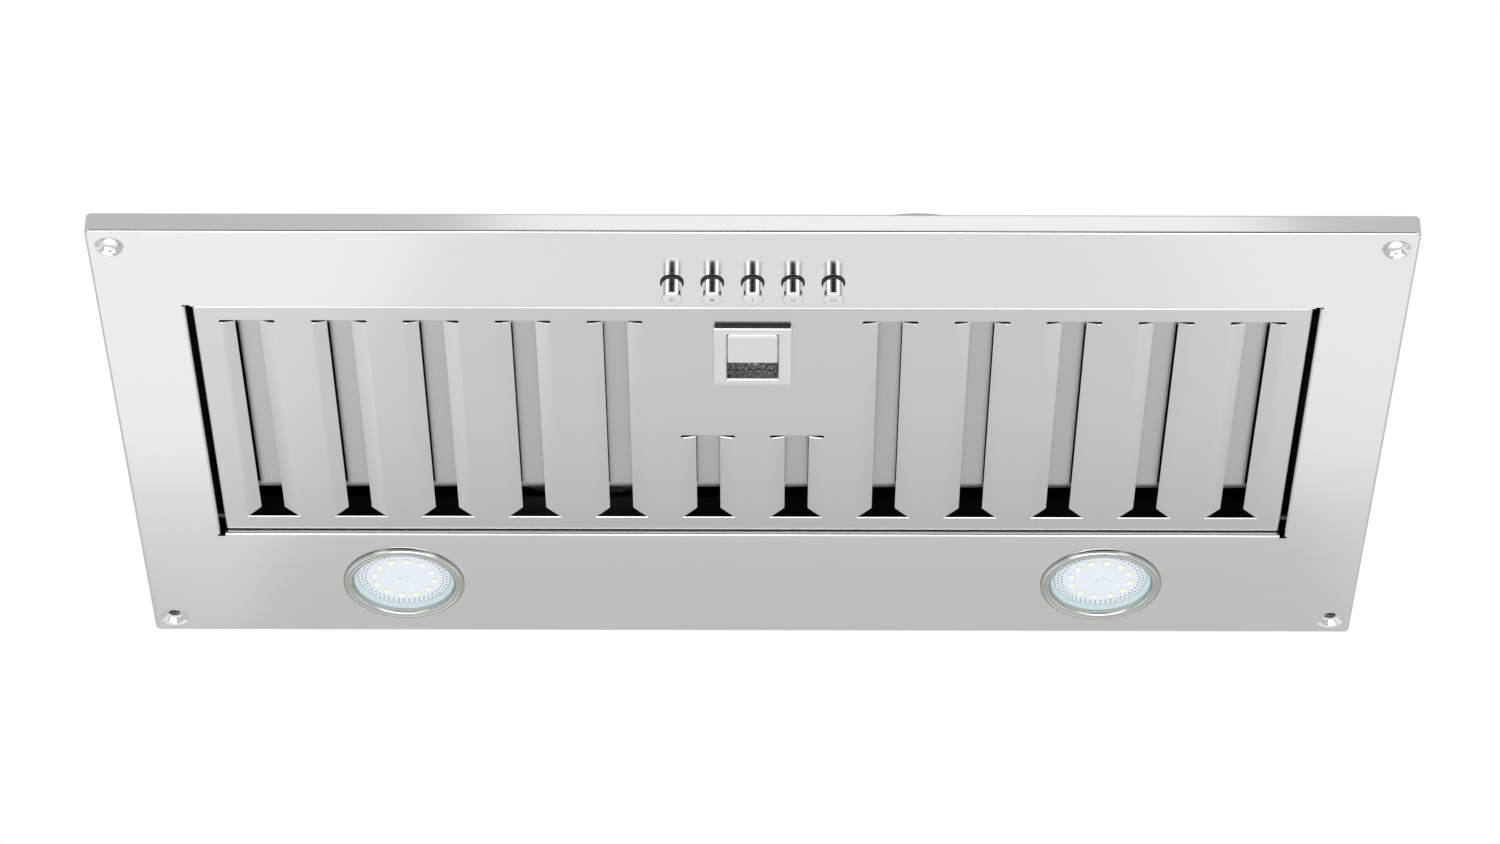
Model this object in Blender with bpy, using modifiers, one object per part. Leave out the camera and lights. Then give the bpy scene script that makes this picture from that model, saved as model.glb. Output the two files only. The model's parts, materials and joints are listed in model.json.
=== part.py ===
"""An insert range hood: a stainless panel that screws up under a canopy, with a hinged baffle filter,
a row of push buttons and two round lamps on its face, and a sump, blower and duct collar above it.

Metres, +Z up. The origin is the centre of the rim's seating plane, where the panel meets the canopy.
-Y is the cook's side with the buttons, +Y is the lamp side.
"""

import math

import bmesh
import bpy
from mathutils import Matrix, Vector

# ---------------------------------------------------------------- driving dimensions
GAP = 0.0003  # clearance between pieces that touch

PANEL_X = 0.350  # half width of the panel
PANEL_Y = 0.190  # half depth of the panel
RIM_HEIGHT = 0.0125
SHEET = 0.001
LIP_WIDTH = 0.006
FACE_Z = -RIM_HEIGHT  # the panel's underside
INNER_Z = FACE_Z + SHEET

OPENING_X = 0.3033
OPENING_NEAR = -0.1235
OPENING_FAR = 0.0900
RETURN_TOP = -0.002

FILTER_X = 0.300
FILTER_NEAR = -0.12125
FILTER_FAR = 0.0890
FILTER_Z = -0.010
FILTER_TOP = 0.0125
FILTER_SHEET = 0.0008
SLOT_PITCH = 0.0494
SLOT_COUNT = 12
SLOT_HALF = 0.0066
FLAP_HALF = 0.0152
LONG_SLOT_NEAR = -0.1094
SHORT_SLOT_NEAR = -0.0040
SLOT_FAR = 0.0760
RELIEF = 0.0028
TAPER = 0.0080
BAFFLE_Z = -0.0010
BAFFLE_FAR = 0.0586
PIVOT_Y, PIVOT_Z = 0.0790, -0.0064
PIVOT_RADIUS = 0.002

LATCH_X = 0.02135
LATCH_NEAR, LATCH_FAR = -0.1058, -0.0547
WINDOW_X = 0.0139
WINDOW_NEAR, WINDOW_FAR = -0.1003, -0.0601
LATCH_Z = -0.0128
TONGUE_TIP = -0.1231

BUTTON_Y = -0.1465
BUTTON_PITCH = 0.0214
BUTTON_RADIUS = 0.0051
BUTTON_END = FACE_Z - 0.0115

LAMP_X = 0.2015
LAMP_Y = 0.1396
LAMP_HOLE = 0.0305

SCREW_X = 0.338
SCREW_NEAR, SCREW_FAR = -0.176, 0.1765

SUMP_X = 0.315
SUMP_NEAR, SUMP_FAR = -0.133, 0.180
SUMP_SHOULDER = 0.034
SUMP_TOP = 0.062
SUMP_SHEET = 0.0008

BLOWER = Vector((-0.100, 0.082, 0.0))
SCROLL_START, SCROLL_END = 0.092, 0.112
SCROLL_BASE = SUMP_TOP + GAP
SCROLL_LID = 0.118
OUTLET_RIGHT, OUTLET_FAR = 0.185, 0.180
INLET_RADIUS = 0.072

DUCT = Vector((0.095, 0.085, 0.0))
DUCT_RADIUS = 0.075
DUCT_TOP = 0.158
FLAP_AXIS_Z = 0.127

ROUND = 24  # sides of a middling round piece


# ---------------------------------------------------------------- helpers
def clear_scene():
    for obj in list(bpy.data.objects):
        bpy.data.objects.remove(obj, do_unlink=True)


def collection(name, hidden=False):
    made = bpy.data.collections.new(name)
    made.hide_render = hidden
    bpy.context.scene.collection.children.link(made)
    return made


clear_scene()
HOOD = collection("insert_range_hood")
CUTTERS = collection("cutters", hidden=True)


def finish(name, colour, roughness, metallic=0.0):
    """One Principled material for a node."""
    made = bpy.data.materials.new(name)
    made.use_nodes = True
    shader = made.node_tree.nodes["Principled BSDF"]
    shader.inputs["Base Color"].default_value = (*colour, 1.0)
    shader.inputs["Roughness"].default_value = roughness
    shader.inputs["Metallic"].default_value = metallic
    return made


STEEL = ((0.66, 0.66, 0.66), 0.32, 1.0)
GALVANISED = ((0.55, 0.57, 0.58), 0.45, 1.0)
BLACK = ((0.02, 0.02, 0.02), 0.45)
CHROME = ((0.80, 0.80, 0.82), 0.12, 1.0)
NICKEL = ((0.62, 0.58, 0.53), 0.25, 1.0)
GLASS = ((0.82, 0.95, 0.97), 0.10)
BOARD = ((0.93, 0.96, 1.00), 0.50)
WHITE = ((0.85, 0.85, 0.84), 0.50)
GREY = ((0.35, 0.36, 0.38), 0.50)
RUBBER = ((0.03, 0.03, 0.03), 0.80)


def node(name, mesh, look, cutter=False):
    obj = bpy.data.objects.new(name, mesh)
    if cutter:
        CUTTERS.objects.link(obj)
        obj.hide_render = True
        obj.display_type = "WIRE"
    else:
        HOOD.objects.link(obj)
        obj.data.materials.append(finish(name, *look))
    return obj


def mesh_of(name, bm):
    mesh = bpy.data.meshes.new(name)
    bmesh.ops.recalc_face_normals(bm, faces=bm.faces)
    bm.to_mesh(mesh)
    bm.free()
    return mesh


def add_box(bm, low, high):
    """A closed box between two corners, added to a bmesh; returns its vertices."""
    low, high = Vector(low), Vector(high)
    place = Matrix.Translation((low + high) / 2) @ Matrix.Diagonal((*(high - low), 1.0))
    return bmesh.ops.create_cube(bm, size=1.0, matrix=place)["verts"]


def add_cylinder(bm, foot, head, radius, sides=ROUND, tip=None):
    """A closed cylinder, or a frustum with radius tip at its head, between two points."""
    foot, head = Vector(foot), Vector(head)
    run = head - foot
    turn = run.to_track_quat("Z", "Y").to_matrix().to_4x4()
    place = Matrix.Translation((foot + head) / 2) @ turn
    bmesh.ops.create_cone(
        bm, cap_ends=True, segments=sides, radius1=radius,
        radius2=radius if tip is None else tip, depth=run.length, matrix=place,
    )


def box(name, low, high, look=STEEL, bevel=0.0, cutter=False):
    bm = bmesh.new()
    add_box(bm, low, high)
    obj = node(name, mesh_of(name, bm), look, cutter)
    if bevel:
        edge = obj.modifiers.new("edge", "BEVEL")
        edge.width = bevel
        edge.segments = 2
    return obj


def cylinder(name, foot, head, radius, look=STEEL, sides=ROUND, tip=None, cutter=False):
    bm = bmesh.new()
    add_cylinder(bm, foot, head, radius, sides, tip)
    obj = node(name, mesh_of(name, bm), look, cutter)
    obj.data.shade_smooth()
    obj.data.set_sharp_from_angle(angle=math.radians(35))
    return obj


def boolean(obj, other, operation):
    step = obj.modifiers.new(other.name, "BOOLEAN")
    step.operation = operation
    step.solver = "EXACT"
    step.object = other


def cut(obj, *cutters):
    for cutter in cutters:
        boolean(obj, cutter, "DIFFERENCE")


def join(obj, *others):
    for other in others:
        boolean(obj, other, "UNION")


def turned(name, profile, look, centre=(0, 0, 0), sides=ROUND, closed=False, turn=None):
    """A profile of (radius, height) points, outer side running down, turned about its own Z."""
    bm = bmesh.new()
    points = [bm.verts.new((radius, 0.0, height)) for radius, height in profile]
    pairs = list(zip(points, points[1:]))
    if closed:
        pairs.append((points[-1], points[0]))
    for pair in pairs:
        bm.edges.new(pair)
    mesh = bpy.data.meshes.new(name)
    bm.to_mesh(mesh)
    bm.free()
    obj = node(name, mesh, look)
    obj.location = centre
    if turn:
        obj.rotation_euler = turn
    screw = obj.modifiers.new("turn", "SCREW")
    screw.steps = screw.render_steps = sides
    screw.use_merge_vertices = True
    screw.merge_threshold = 0.00001
    screw.use_smooth_shade = False
    return obj


def flat(name, outlines, low, thickness, look=STEEL, cutter=False):
    """A flat plate from closed outlines in X and Y, the first one outside and the others its holes."""
    curve = bpy.data.curves.new(name, "CURVE")
    curve.dimensions = "2D"
    curve.fill_mode = "BOTH"
    curve.extrude = thickness / 2
    for outline in outlines:
        spline = curve.splines.new("POLY")
        spline.points.add(len(outline) - 1)
        for point, (x, y) in zip(spline.points, outline):
            point.co = (x, y, 0.0, 1.0)
        spline.use_cyclic_u = True
    shape = bpy.data.objects.new(name + "_outline", curve)
    CUTTERS.objects.link(shape)
    shape.location.z = low + thickness / 2
    bpy.context.view_layer.update()
    filled = bpy.data.meshes.new_from_object(shape.evaluated_get(bpy.context.evaluated_depsgraph_get()))
    bm = bmesh.new()
    bm.from_mesh(filled)
    bmesh.ops.remove_doubles(bm, verts=bm.verts, dist=0.00001)
    bm.transform(shape.matrix_world)
    bpy.data.objects.remove(shape)
    bpy.data.meshes.remove(filled)
    return node(name, mesh_of(name, bm), look, cutter)


def circle(centre, radius, sides=ROUND):
    turns = [2 * math.pi * step / sides for step in range(sides)]
    return [(centre[0] + radius * math.cos(a), centre[1] + radius * math.sin(a)) for a in turns]


def smooth_route(points, spacing):
    """Points about one spacing apart along a smooth curve through a route's own points."""
    ends = [2 * points[0] - points[1], *points, 2 * points[-1] - points[-2]]
    made = []
    for before, start, stop, after in zip(ends, ends[1:], ends[2:], ends[3:]):
        steps = max(2, round((stop - start).length / spacing))
        for step in range(steps):
            t = step / steps
            bend = (3 * start - 3 * stop + after - before) * t ** 3
            pull = (2 * before - 5 * start + 4 * stop - after) * t ** 2
            made.append(start + ((stop - before) * t + pull + bend) / 2)
    return [*made, points[-1]]


def lead(name, route, radius, look=BLACK):
    """An insulated lead along a smooth curve through its route."""
    points = smooth_route([Vector(point) for point in route], 5 * radius)
    curve = bpy.data.curves.new(name, "CURVE")
    curve.dimensions = "3D"
    curve.bevel_depth = radius
    curve.bevel_resolution = 1
    curve.use_fill_caps = True
    spline = curve.splines.new("POLY")
    spline.points.add(len(points) - 1)
    for made, point in zip(spline.points, points):
        made.co = (*point, 1.0)
    return node(name, curve, look)


# ---------------------------------------------------------------- the face panel
def panel_tray():
    """The pressed pan, solid, with rounded plan corners and a rounded fold round its face."""
    bm = bmesh.new()
    add_box(bm, (-PANEL_X, -PANEL_Y, FACE_Z), (PANEL_X, PANEL_Y, 0.0))
    uprights = [e for e in bm.edges if abs(e.verts[0].co.z - e.verts[1].co.z) > SHEET]
    bmesh.ops.bevel(bm, geom=uprights, offset=0.003, segments=3, affect="EDGES", profile=0.5)
    folds = [e for e in bm.edges if all(v.co.z < FACE_Z + SHEET / 2 for v in e.verts)]
    bmesh.ops.bevel(bm, geom=folds, offset=0.0012, segments=2, affect="EDGES", profile=0.5)
    return node("face_panel", mesh_of("face_panel", bm), STEEL)


def panel_holes():
    """The lamp holes, the button holes and the pivot holes of the filter."""
    bm = bmesh.new()
    for side in (-1, 1):
        lamp = Vector((side * LAMP_X, LAMP_Y, FACE_Z))
        add_cylinder(bm, lamp - Vector((0, 0, 0.004)), lamp + Vector((0, 0, 0.004)), LAMP_HOLE)
        pivot = Vector((side * OPENING_X, PIVOT_Y, PIVOT_Z))
        reach = Vector((0.004, 0, 0))
        add_cylinder(bm, pivot - reach, pivot + reach, PIVOT_RADIUS + GAP, 16)
    for index in range(5):
        place = Vector(((index - 2) * BUTTON_PITCH, BUTTON_Y, FACE_Z))
        add_cylinder(bm, place - Vector((0, 0, 0.004)), place + Vector((0, 0, 0.004)), 0.0059, 24)
    return node("panel_holes", mesh_of("panel_holes", bm), None, cutter=True)


def screw_places():
    return [(x, y) for x in (-SCREW_X, SCREW_X) for y in (SCREW_NEAR, SCREW_FAR)]


def screw_dimples(name, grow, low, high, hole):
    """Countersunk dimples as frustums, for the pressed boss or for the hollow in it."""
    bm = bmesh.new()
    for x, y in screw_places():
        add_cylinder(bm, (x, y, low), (x, y, high), 0.0070 + grow, 20, tip=hole)
    return node(name, mesh_of(name, bm), None, cutter=True)


def make_face_panel():
    panel = panel_tray()
    inside = PANEL_X - SHEET, PANEL_Y - SHEET
    mouth = PANEL_X - LIP_WIDTH, PANEL_Y - LIP_WIDTH
    hollow = box("panel_hollow", (-inside[0], -inside[1], INNER_Z), (*inside, -SHEET), cutter=True)
    open_top = box("panel_mouth", (-mouth[0], -mouth[1], -2 * SHEET), (*mouth, SHEET), cutter=True)
    ring = OPENING_X + SHEET, OPENING_NEAR - SHEET, OPENING_FAR + SHEET
    returns = box("opening_returns", (-ring[0], ring[1], FACE_Z + SHEET / 2),
                  (ring[0], ring[2], RETURN_TOP), cutter=True)
    opening = box("opening", (-OPENING_X, OPENING_NEAR, FACE_Z - SHEET),
                  (OPENING_X, OPENING_FAR, 0.0), cutter=True)
    cut(panel, hollow, open_top)
    join(panel, returns, screw_dimples("dimple_bosses", 0.0006, FACE_Z + SHEET / 3, FACE_Z + 0.004, 0.0052))
    cut(panel, opening, panel_holes())
    cut(panel, screw_dimples("dimple_hollows", 0.0004, FACE_Z - SHEET / 2, FACE_Z + 0.0030, 0.0038))
    bm = bmesh.new()
    for x, y in screw_places():
        add_cylinder(bm, (x, y, FACE_Z), (x, y, 0.0), 0.0035, 16)
    cut(panel, node("screw_holes", mesh_of("screw_holes", bm), None, cutter=True))


# ---------------------------------------------------------------- the baffle filter and its latch
def slot_centres():
    return [(index - (SLOT_COUNT - 1) / 2) * SLOT_PITCH for index in range(SLOT_COUNT)]


def slot_outline(centre, near):
    """A slot between two turned-up flaps: a relief cut at its near end and an oblique far end."""
    taper = SLOT_FAR - TAPER
    half = [
        (SLOT_HALF, near + RELIEF), (FLAP_HALF - 0.001, near + RELIEF), (FLAP_HALF, near + RELIEF / 2),
        (FLAP_HALF - 0.001, near),
    ]
    right = [(FLAP_HALF, SLOT_FAR), (SLOT_HALF, taper), *half]
    left = [(-x, y) for x, y in reversed(right)]
    return [(centre + x, y) for x, y in right + left]


def make_filter_front():
    tray = box("filter_front", (-FILTER_X, FILTER_NEAR, FILTER_Z), (FILTER_X, FILTER_FAR, FILTER_TOP))
    low, high = (-FILTER_X, FILTER_NEAR, FILTER_Z), (FILTER_X, FILTER_FAR, FILTER_TOP + SHEET * 2)
    hollow = box("filter_hollow", [c + FILTER_SHEET for c in low], [c - FILTER_SHEET for c in high],
                 cutter=True)
    cut(tray, hollow)
    middle = (SLOT_COUNT // 2 - 1, SLOT_COUNT // 2)
    for index, centre in enumerate(slot_centres()):
        near = SHORT_SLOT_NEAR if index in middle else LONG_SLOT_NEAR
        cut(tray, flat(f"slot_{index + 1}", [slot_outline(centre, near)], FILTER_Z - SHEET, 3 * SHEET,
                       cutter=True))
    pocket = box("latch_hole", (-0.0162, -0.1027, FILTER_Z - SHEET), (0.0162, -0.0577, 0.0), cutter=True)
    notch = box("tongue_notch", (-0.0074, FILTER_NEAR - SHEET, -0.0016), (0.0074, -0.119, 0.0013),
                cutter=True)
    bm = bmesh.new()
    for side in (-1, 1):
        start, stop = side * (FILTER_X - 0.003), side * (FILTER_X + 0.003)
        add_cylinder(bm, (start, PIVOT_Y, PIVOT_Z), (stop, PIVOT_Y, PIVOT_Z), PIVOT_RADIUS + GAP, 16)
    cut(tray, pocket, notch, node("filter_pin_holes", mesh_of("filter_pin_holes", bm), None, cutter=True))


def make_filter_pins():
    for side, word in ((-1, "left"), (1, "right")):
        inner, wall = FILTER_X - 0.0027, FILTER_X - FILTER_SHEET - GAP
        profile = [(0, 0.0088), (PIVOT_RADIUS, 0.0088), (PIVOT_RADIUS, wall - inner), (0.0025, wall - inner),
                   (0.0025, 0.0), (0, 0.0)]
        turned(f"filter_pin_{word}", profile, CHROME, (side * inner, PIVOT_Y, PIVOT_Z), 12,
               turn=(0, side * math.pi / 2, 0))


def make_rear_baffle():
    """The rear sheet: a strip behind each slot, long gaps beside the strips, and side flanges."""
    wall = FILTER_X - FILTER_SHEET - GAP
    near = FILTER_NEAR + FILTER_SHEET + GAP
    low = FILTER_Z + FILTER_SHEET + GAP
    strip, rail = SLOT_HALF - 0.0001, 0.005
    top = BAFFLE_Z + FILTER_SHEET
    sheet = box("filter_rear_baffle", (-wall, near, low), (wall, BAFFLE_FAR, top))
    inside = wall - FILTER_SHEET
    channel = box("baffle_channel", (-inside, near - SHEET, low - SHEET),
                  (inside, BAFFLE_FAR + SHEET, BAFFLE_Z), cutter=True)
    cut(sheet, channel)
    bm = bmesh.new()
    centres = slot_centres()
    sides = [-inside + 0.0036 - strip, *centres, inside - 0.0036 + strip]
    for left, right in zip(sides, sides[1:]):
        start = -0.1045 if left < 0 < right else -0.095
        add_box(bm, (left + strip, start, BAFFLE_Z - SHEET), (right - strip, BAFFLE_FAR - rail, top + SHEET))
    cut(sheet, node("baffle_gaps", mesh_of("baffle_gaps", bm), None, cutter=True))
    cut(sheet, box("tongue_gap", (-0.0088, near - SHEET, BAFFLE_Z - SHEET), (0.0088, -0.1035, top + SHEET),
                   cutter=True))


def make_latch():
    """The bezel with its pocket, the sliding catch with its tongue, and the return spring."""
    bezel = box("latch_bezel", (-LATCH_X, LATCH_NEAR, LATCH_Z), (LATCH_X, LATCH_FAR, FILTER_Z - GAP), CHROME)
    join(bezel, box("latch_pocket", (-0.0159, -0.1023, FILTER_Z - SHEET), (0.0159, -0.0581, 0.003),
                    cutter=True))
    lane = box("catch_lane", (-WINDOW_X, WINDOW_NEAR, LATCH_Z - SHEET), (WINDOW_X, -0.0775, 0.0015),
               cutter=True)
    scoop = box("finger_scoop", (-WINDOW_X, -0.078, LATCH_Z - SHEET), (WINDOW_X, WINDOW_FAR, -0.0045),
                cutter=True)
    spring_bore = box("spring_bore", (-0.003, -0.078, -0.0034), (0.003, WINDOW_FAR, 0.0012), cutter=True)
    slit = box("tongue_slit", (-0.0074, -0.1035, -0.0016), (0.0074, -0.0995, 0.0013), cutter=True)
    cut(bezel, lane, scoop, spring_bore, slit)

    catch = box("latch_slider", (-WINDOW_X + GAP, WINDOW_NEAR + GAP, -0.0123),
                (WINDOW_X - GAP, -0.0759, -0.0103), CHROME)
    block = box("catch_block", (-0.009, -0.0985, -0.0110), (0.009, -0.0840, 0.0012), cutter=True)
    tongue = box("catch_tongue", (-0.007, TONGUE_TIP, -0.0012), (0.007, -0.0975, 0.0009), cutter=True)
    join(catch, block, tongue)

    turns, radius, start, stop = 5, 0.0018, -0.0835, -0.0606
    steps = 6 * turns
    coil = []
    for step in range(steps + 1):
        angle = 2 * math.pi * turns * step / steps
        along = start + (stop - start) * step / steps
        coil.append((radius * math.cos(angle), along, -0.0011 + radius * math.sin(angle)))
    curve = bpy.data.curves.new("latch_spring", "CURVE")
    curve.dimensions = "3D"
    curve.bevel_depth = 0.0003
    curve.bevel_resolution = 0
    curve.use_fill_caps = True
    spline = curve.splines.new("POLY")
    spline.points.add(steps)
    for made, point in zip(spline.points, coil):
        made.co = (*point, 1.0)
    node("latch_spring", curve, STEEL)


# ---------------------------------------------------------------- buttons and switch bank
def make_buttons():
    barrel_top = -0.006
    button = [
        (0.0, 0.008), (0.002, 0.008), (0.002, barrel_top), (BUTTON_RADIUS, barrel_top),
        (BUTTON_RADIUS, BUTTON_END + 0.0005), (BUTTON_RADIUS - 0.0005, BUTTON_END),
        (0.0, BUTTON_END - 0.00015),
    ]
    seat = FACE_Z - GAP
    bush = [
        (0.0056, -0.0100), (0.0056, seat), (0.00635, seat), (0.00635, seat - 0.0010),
        (0.00600, seat - 0.0013), (0.0053, seat - 0.0013), (0.0053, -0.0100),
    ]
    for index in range(5):
        place = ((index - 2) * BUTTON_PITCH, BUTTON_Y, 0.0)
        turned(f"button_{index + 1}", button, CHROME, place, 16)
        turned(f"button_bush_{index + 1}", bush, BLACK, place, 16, closed=True)


def make_switch_bank():
    body = box("switch_body", (-0.049, BUTTON_Y - 0.009, 0.0), (0.049, BUTTON_Y + 0.009, 0.022), BLACK)
    bm = bmesh.new()
    for index in range(5):
        x = (index - 2) * BUTTON_PITCH
        add_cylinder(bm, (x, BUTTON_Y, -SHEET), (x, BUTTON_Y, 0.014), 0.0025, 12)
    cut(body, node("plunger_bores", mesh_of("plunger_bores", bm), None, cutter=True))

    front, back = BUTTON_Y - 0.009, BUTTON_Y + 0.009
    foot_z = INNER_Z + GAP
    bridge = box("switch_bracket", (-0.0503, front, foot_z), (0.0503, back, 0.0233), GALVANISED)
    inside = box("bracket_inside", (-0.0493, front - SHEET, foot_z - SHEET), (0.0493, back + SHEET, 0.0223),
                 cutter=True)
    cut(bridge, inside)
    for side, word in ((-1, "left"), (1, "right")):
        x = sorted((side * 0.0498, side * 0.062))
        join(bridge, box(f"bracket_foot_{word}", (x[0], front, foot_z), (x[1], back, foot_z + SHEET),
                         cutter=True))


# ---------------------------------------------------------------- lamps
def make_lamp(side, word):
    centre = (side * LAMP_X, LAMP_Y, 0.0)
    seat = FACE_Z - GAP
    rim = [
        (0.0302, -0.0110), (0.0302, seat), (0.0350, seat), (0.0347, -0.0140), (0.0335, -0.0147),
        (0.0308, -0.0146), (0.0292, -0.0136), (0.0292, -0.0110),
    ]
    turned(f"lamp_bezel_{word}", rim, NICKEL, centre, 32, closed=True)
    lens = [(0.0, -0.0114), (0.0289, -0.0114), (0.0289, -0.0128), (0.0280, -0.0131), (0.0, -0.0134)]
    turned(f"lamp_lens_{word}", lens, GLASS, centre, 32)
    board = [(0.0, -0.0080), (0.0270, -0.0080), (0.0270, -0.0090), (0.0, -0.0090)]
    turned(f"lamp_board_{word}", board, BOARD, centre, ROUND)
    can = [
        (0.0, 0.0120), (0.0240, 0.0120), (0.0298, 0.0070), (0.0298, -0.0107), (0.0288, -0.0107),
        (0.0288, 0.0065), (0.0236, 0.0110), (0.0, 0.0110),
    ]
    turned(f"lamp_can_{word}", can, GREY, centre, ROUND)
    for end, place in ((-1, "a"), (1, "b")):
        make_lamp_clip(f"lamp_clip_{word}_{place}", side * LAMP_X, end)


def make_lamp_clip(name, x, end):
    """A spring strip from the can's side down to the back of the panel, which clamps the lamp in."""
    root, foot, strip, half = 0.0302, 0.0372, 0.0006, 0.004
    rise = [(root, 0.0050), (root, -0.0030), (foot, INNER_Z + GAP), (foot + strip, INNER_Z + GAP),
            (root + strip, -0.0027), (root + strip, 0.0050)]
    bm = bmesh.new()
    face = bm.faces.new([bm.verts.new((0.0, end * across, up)) for across, up in rise])
    grown = bmesh.ops.extrude_face_region(bm, geom=[face])
    moved = [v for v in grown["geom"] if isinstance(v, bmesh.types.BMVert)]
    bmesh.ops.translate(bm, verts=moved, vec=(2 * half, 0, 0))
    bmesh.ops.translate(bm, verts=bm.verts, vec=(x - half, LAMP_Y, 0))
    node(name, mesh_of(name, bm), STEEL)


def make_lamp_supply():
    box("led_driver", (-0.040, 0.125, INNER_Z + GAP), (0.040, 0.165, 0.011), WHITE, bevel=0.0015)
    can_side = LAMP_X - 0.0298 - GAP
    for side, word in ((-1, "left"), (1, "right")):
        lead(f"lamp_lead_{word}", [
            (side * 0.0405, 0.140, -0.002), (side * 0.050, 0.140, -0.002), (side * 0.090, LAMP_Y, -0.005),
            (side * 0.140, LAMP_Y, -0.003), (side * 0.162, LAMP_Y, 0.001), (side * can_side, LAMP_Y, 0.001),
        ], 0.0015, WHITE)
    lead("driver_lead", [
        (0.0405, 0.150, 0.004), (0.052, 0.150, 0.004), (0.080, 0.157, 0.018), (0.130, 0.166, 0.042),
        (0.190, 0.163, 0.050), (0.240, 0.145, 0.048), (0.2545, 0.112, 0.047), (0.255, 0.100, 0.056),
        (0.255, 0.099, 0.066), (0.255, 0.088, 0.073), (0.255, 0.060, 0.076), (0.255, 0.044, 0.077),
        (0.255, 0.0304, 0.077),
    ], 0.0025)
    top, under = SUMP_TOP + GAP, SUMP_TOP - SUMP_SHEET - GAP
    groove = [
        (0.0045, top + 0.0015), (0.0068, top + 0.0010), (0.0068, top), (0.0047, top), (0.0047, under),
        (0.0068, under), (0.0068, under - 0.0012), (0.0033, under - 0.0015), (0.0033, top + 0.0015),
    ]
    turned("lead_grommet", groove, RUBBER, (0.255, 0.0995, 0.0), 16, closed=True)


# ---------------------------------------------------------------- sump, blower and duct
def make_sump():
    """The folded hood above the filter: an open shell on a foot turned out onto the panel."""
    seat = INNER_Z + GAP
    foot = seat + SUMP_SHEET / 4
    side = [(SUMP_NEAR, foot), (SUMP_NEAR, SUMP_SHOULDER), (-0.100, SUMP_TOP), (SUMP_FAR, SUMP_TOP),
            (SUMP_FAR, foot)]
    bm = bmesh.new()
    face = bm.faces.new([bm.verts.new((-SUMP_X, y, z)) for y, z in side])
    grown = bmesh.ops.extrude_face_region(bm, geom=[face])
    moved = [v for v in grown["geom"] if isinstance(v, bmesh.types.BMVert)]
    bmesh.ops.translate(bm, verts=moved, vec=(2 * SUMP_X, 0, 0))
    bmesh.ops.recalc_face_normals(bm, faces=bm.faces)
    bottom = [f for f in bm.faces if all(v.co.z < foot + SHEET / 2 for v in f.verts)]
    bmesh.ops.delete(bm, geom=bottom, context="FACES")
    mesh = bpy.data.meshes.new("sump_housing")
    bm.to_mesh(mesh)
    bm.free()
    sump = node("sump_housing", mesh, GALVANISED)
    shell = sump.modifiers.new("sheet", "SOLIDIFY")
    shell.thickness = SUMP_SHEET
    shell.offset = -1.0
    shell.use_even_offset = True
    rings = []
    for grow in (0.0035, -SUMP_SHEET / 2):
        x, near, far = SUMP_X + grow, SUMP_NEAR - grow, SUMP_FAR + grow
        rings.append([(-x, near), (x, near), (x, far), (-x, far)])
    join(sump, flat("sump_foot", rings, seat, SUMP_SHEET, cutter=True))
    low, high = Vector((0, 0, SUMP_TOP - 0.006)), Vector((0, 0, SUMP_TOP + 0.006))
    cut(sump, cylinder("sump_inlet", BLOWER + low, BLOWER + high, INLET_RADIUS, cutter=True),
        cylinder("grommet_hole", Vector((0.255, 0.0995, 0)) + low, Vector((0.255, 0.0995, 0)) + high, 0.005,
                 sides=16, cutter=True))


def scroll_outline():
    """The blower housing in plan: a spiral that widens round the wheel, then the square outlet chamber."""
    points = []
    steps = 27
    for step in range(steps + 1):
        angle = math.radians(270) * step / steps
        radius = SCROLL_START + (SCROLL_END - SCROLL_START) * step / steps
        points.append((BLOWER.x + radius * math.cos(angle), BLOWER.y + radius * math.sin(angle)))
    front, corner = BLOWER.y - SCROLL_END, 0.012
    arcs = ((OUTLET_RIGHT - corner, front + corner, -90), (OUTLET_RIGHT - corner, OUTLET_FAR - corner, 0))
    for x, y, start in arcs:
        for step in range(5):
            angle = math.radians(start + 90 * step / 4)
            points.append((x + corner * math.cos(angle), y + corner * math.sin(angle)))
    points.append((0.014, OUTLET_FAR))
    points.append((0.005, OUTLET_FAR - 0.006))
    return points


def make_scroll():
    outline = scroll_outline()
    flat("scroll_base", [outline, circle(BLOWER, INLET_RADIUS)], SCROLL_BASE, SHEET, GALVANISED)
    bolt_ring = [circle(BLOWER, 0.010, 16), circle(DUCT, DUCT_RADIUS - SHEET)]
    flat("scroll_lid", [outline, *bolt_ring], SCROLL_LID, SHEET, GALVANISED)
    low, high = SCROLL_BASE + SHEET + GAP, SCROLL_LID - GAP
    bm = bmesh.new()
    ring = [bm.verts.new((x, y, low)) for x, y in outline]
    edges = [bm.edges.new(pair) for pair in zip(ring, ring[1:] + ring[:1])]
    risen = bmesh.ops.extrude_edge_only(bm, edges=edges)
    bmesh.ops.translate(bm, verts=[v for v in risen["geom"] if isinstance(v, bmesh.types.BMVert)],
                        vec=(0, 0, high - low))
    wall = node("scroll_wall", mesh_of("scroll_wall", bm), GALVANISED)
    sheet = wall.modifiers.new("sheet", "SOLIDIFY")
    sheet.thickness = SHEET
    sheet.offset = -1.0
    sheet.use_even_offset = True

    seat = SUMP_TOP - SUMP_SHEET - GAP
    mouth = [
        (0.0715 - GAP, seat), (0.0800, seat), (0.0800, seat - SHEET), (0.0725, seat - SHEET),
        (0.0690, seat), (0.0665, 0.0635), (0.0650, 0.0700), (0.0660, 0.0700), (0.0680, 0.0640),
    ]
    turned("inlet_ring", mouth, GALVANISED, BLOWER, 32, closed=True)


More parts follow.
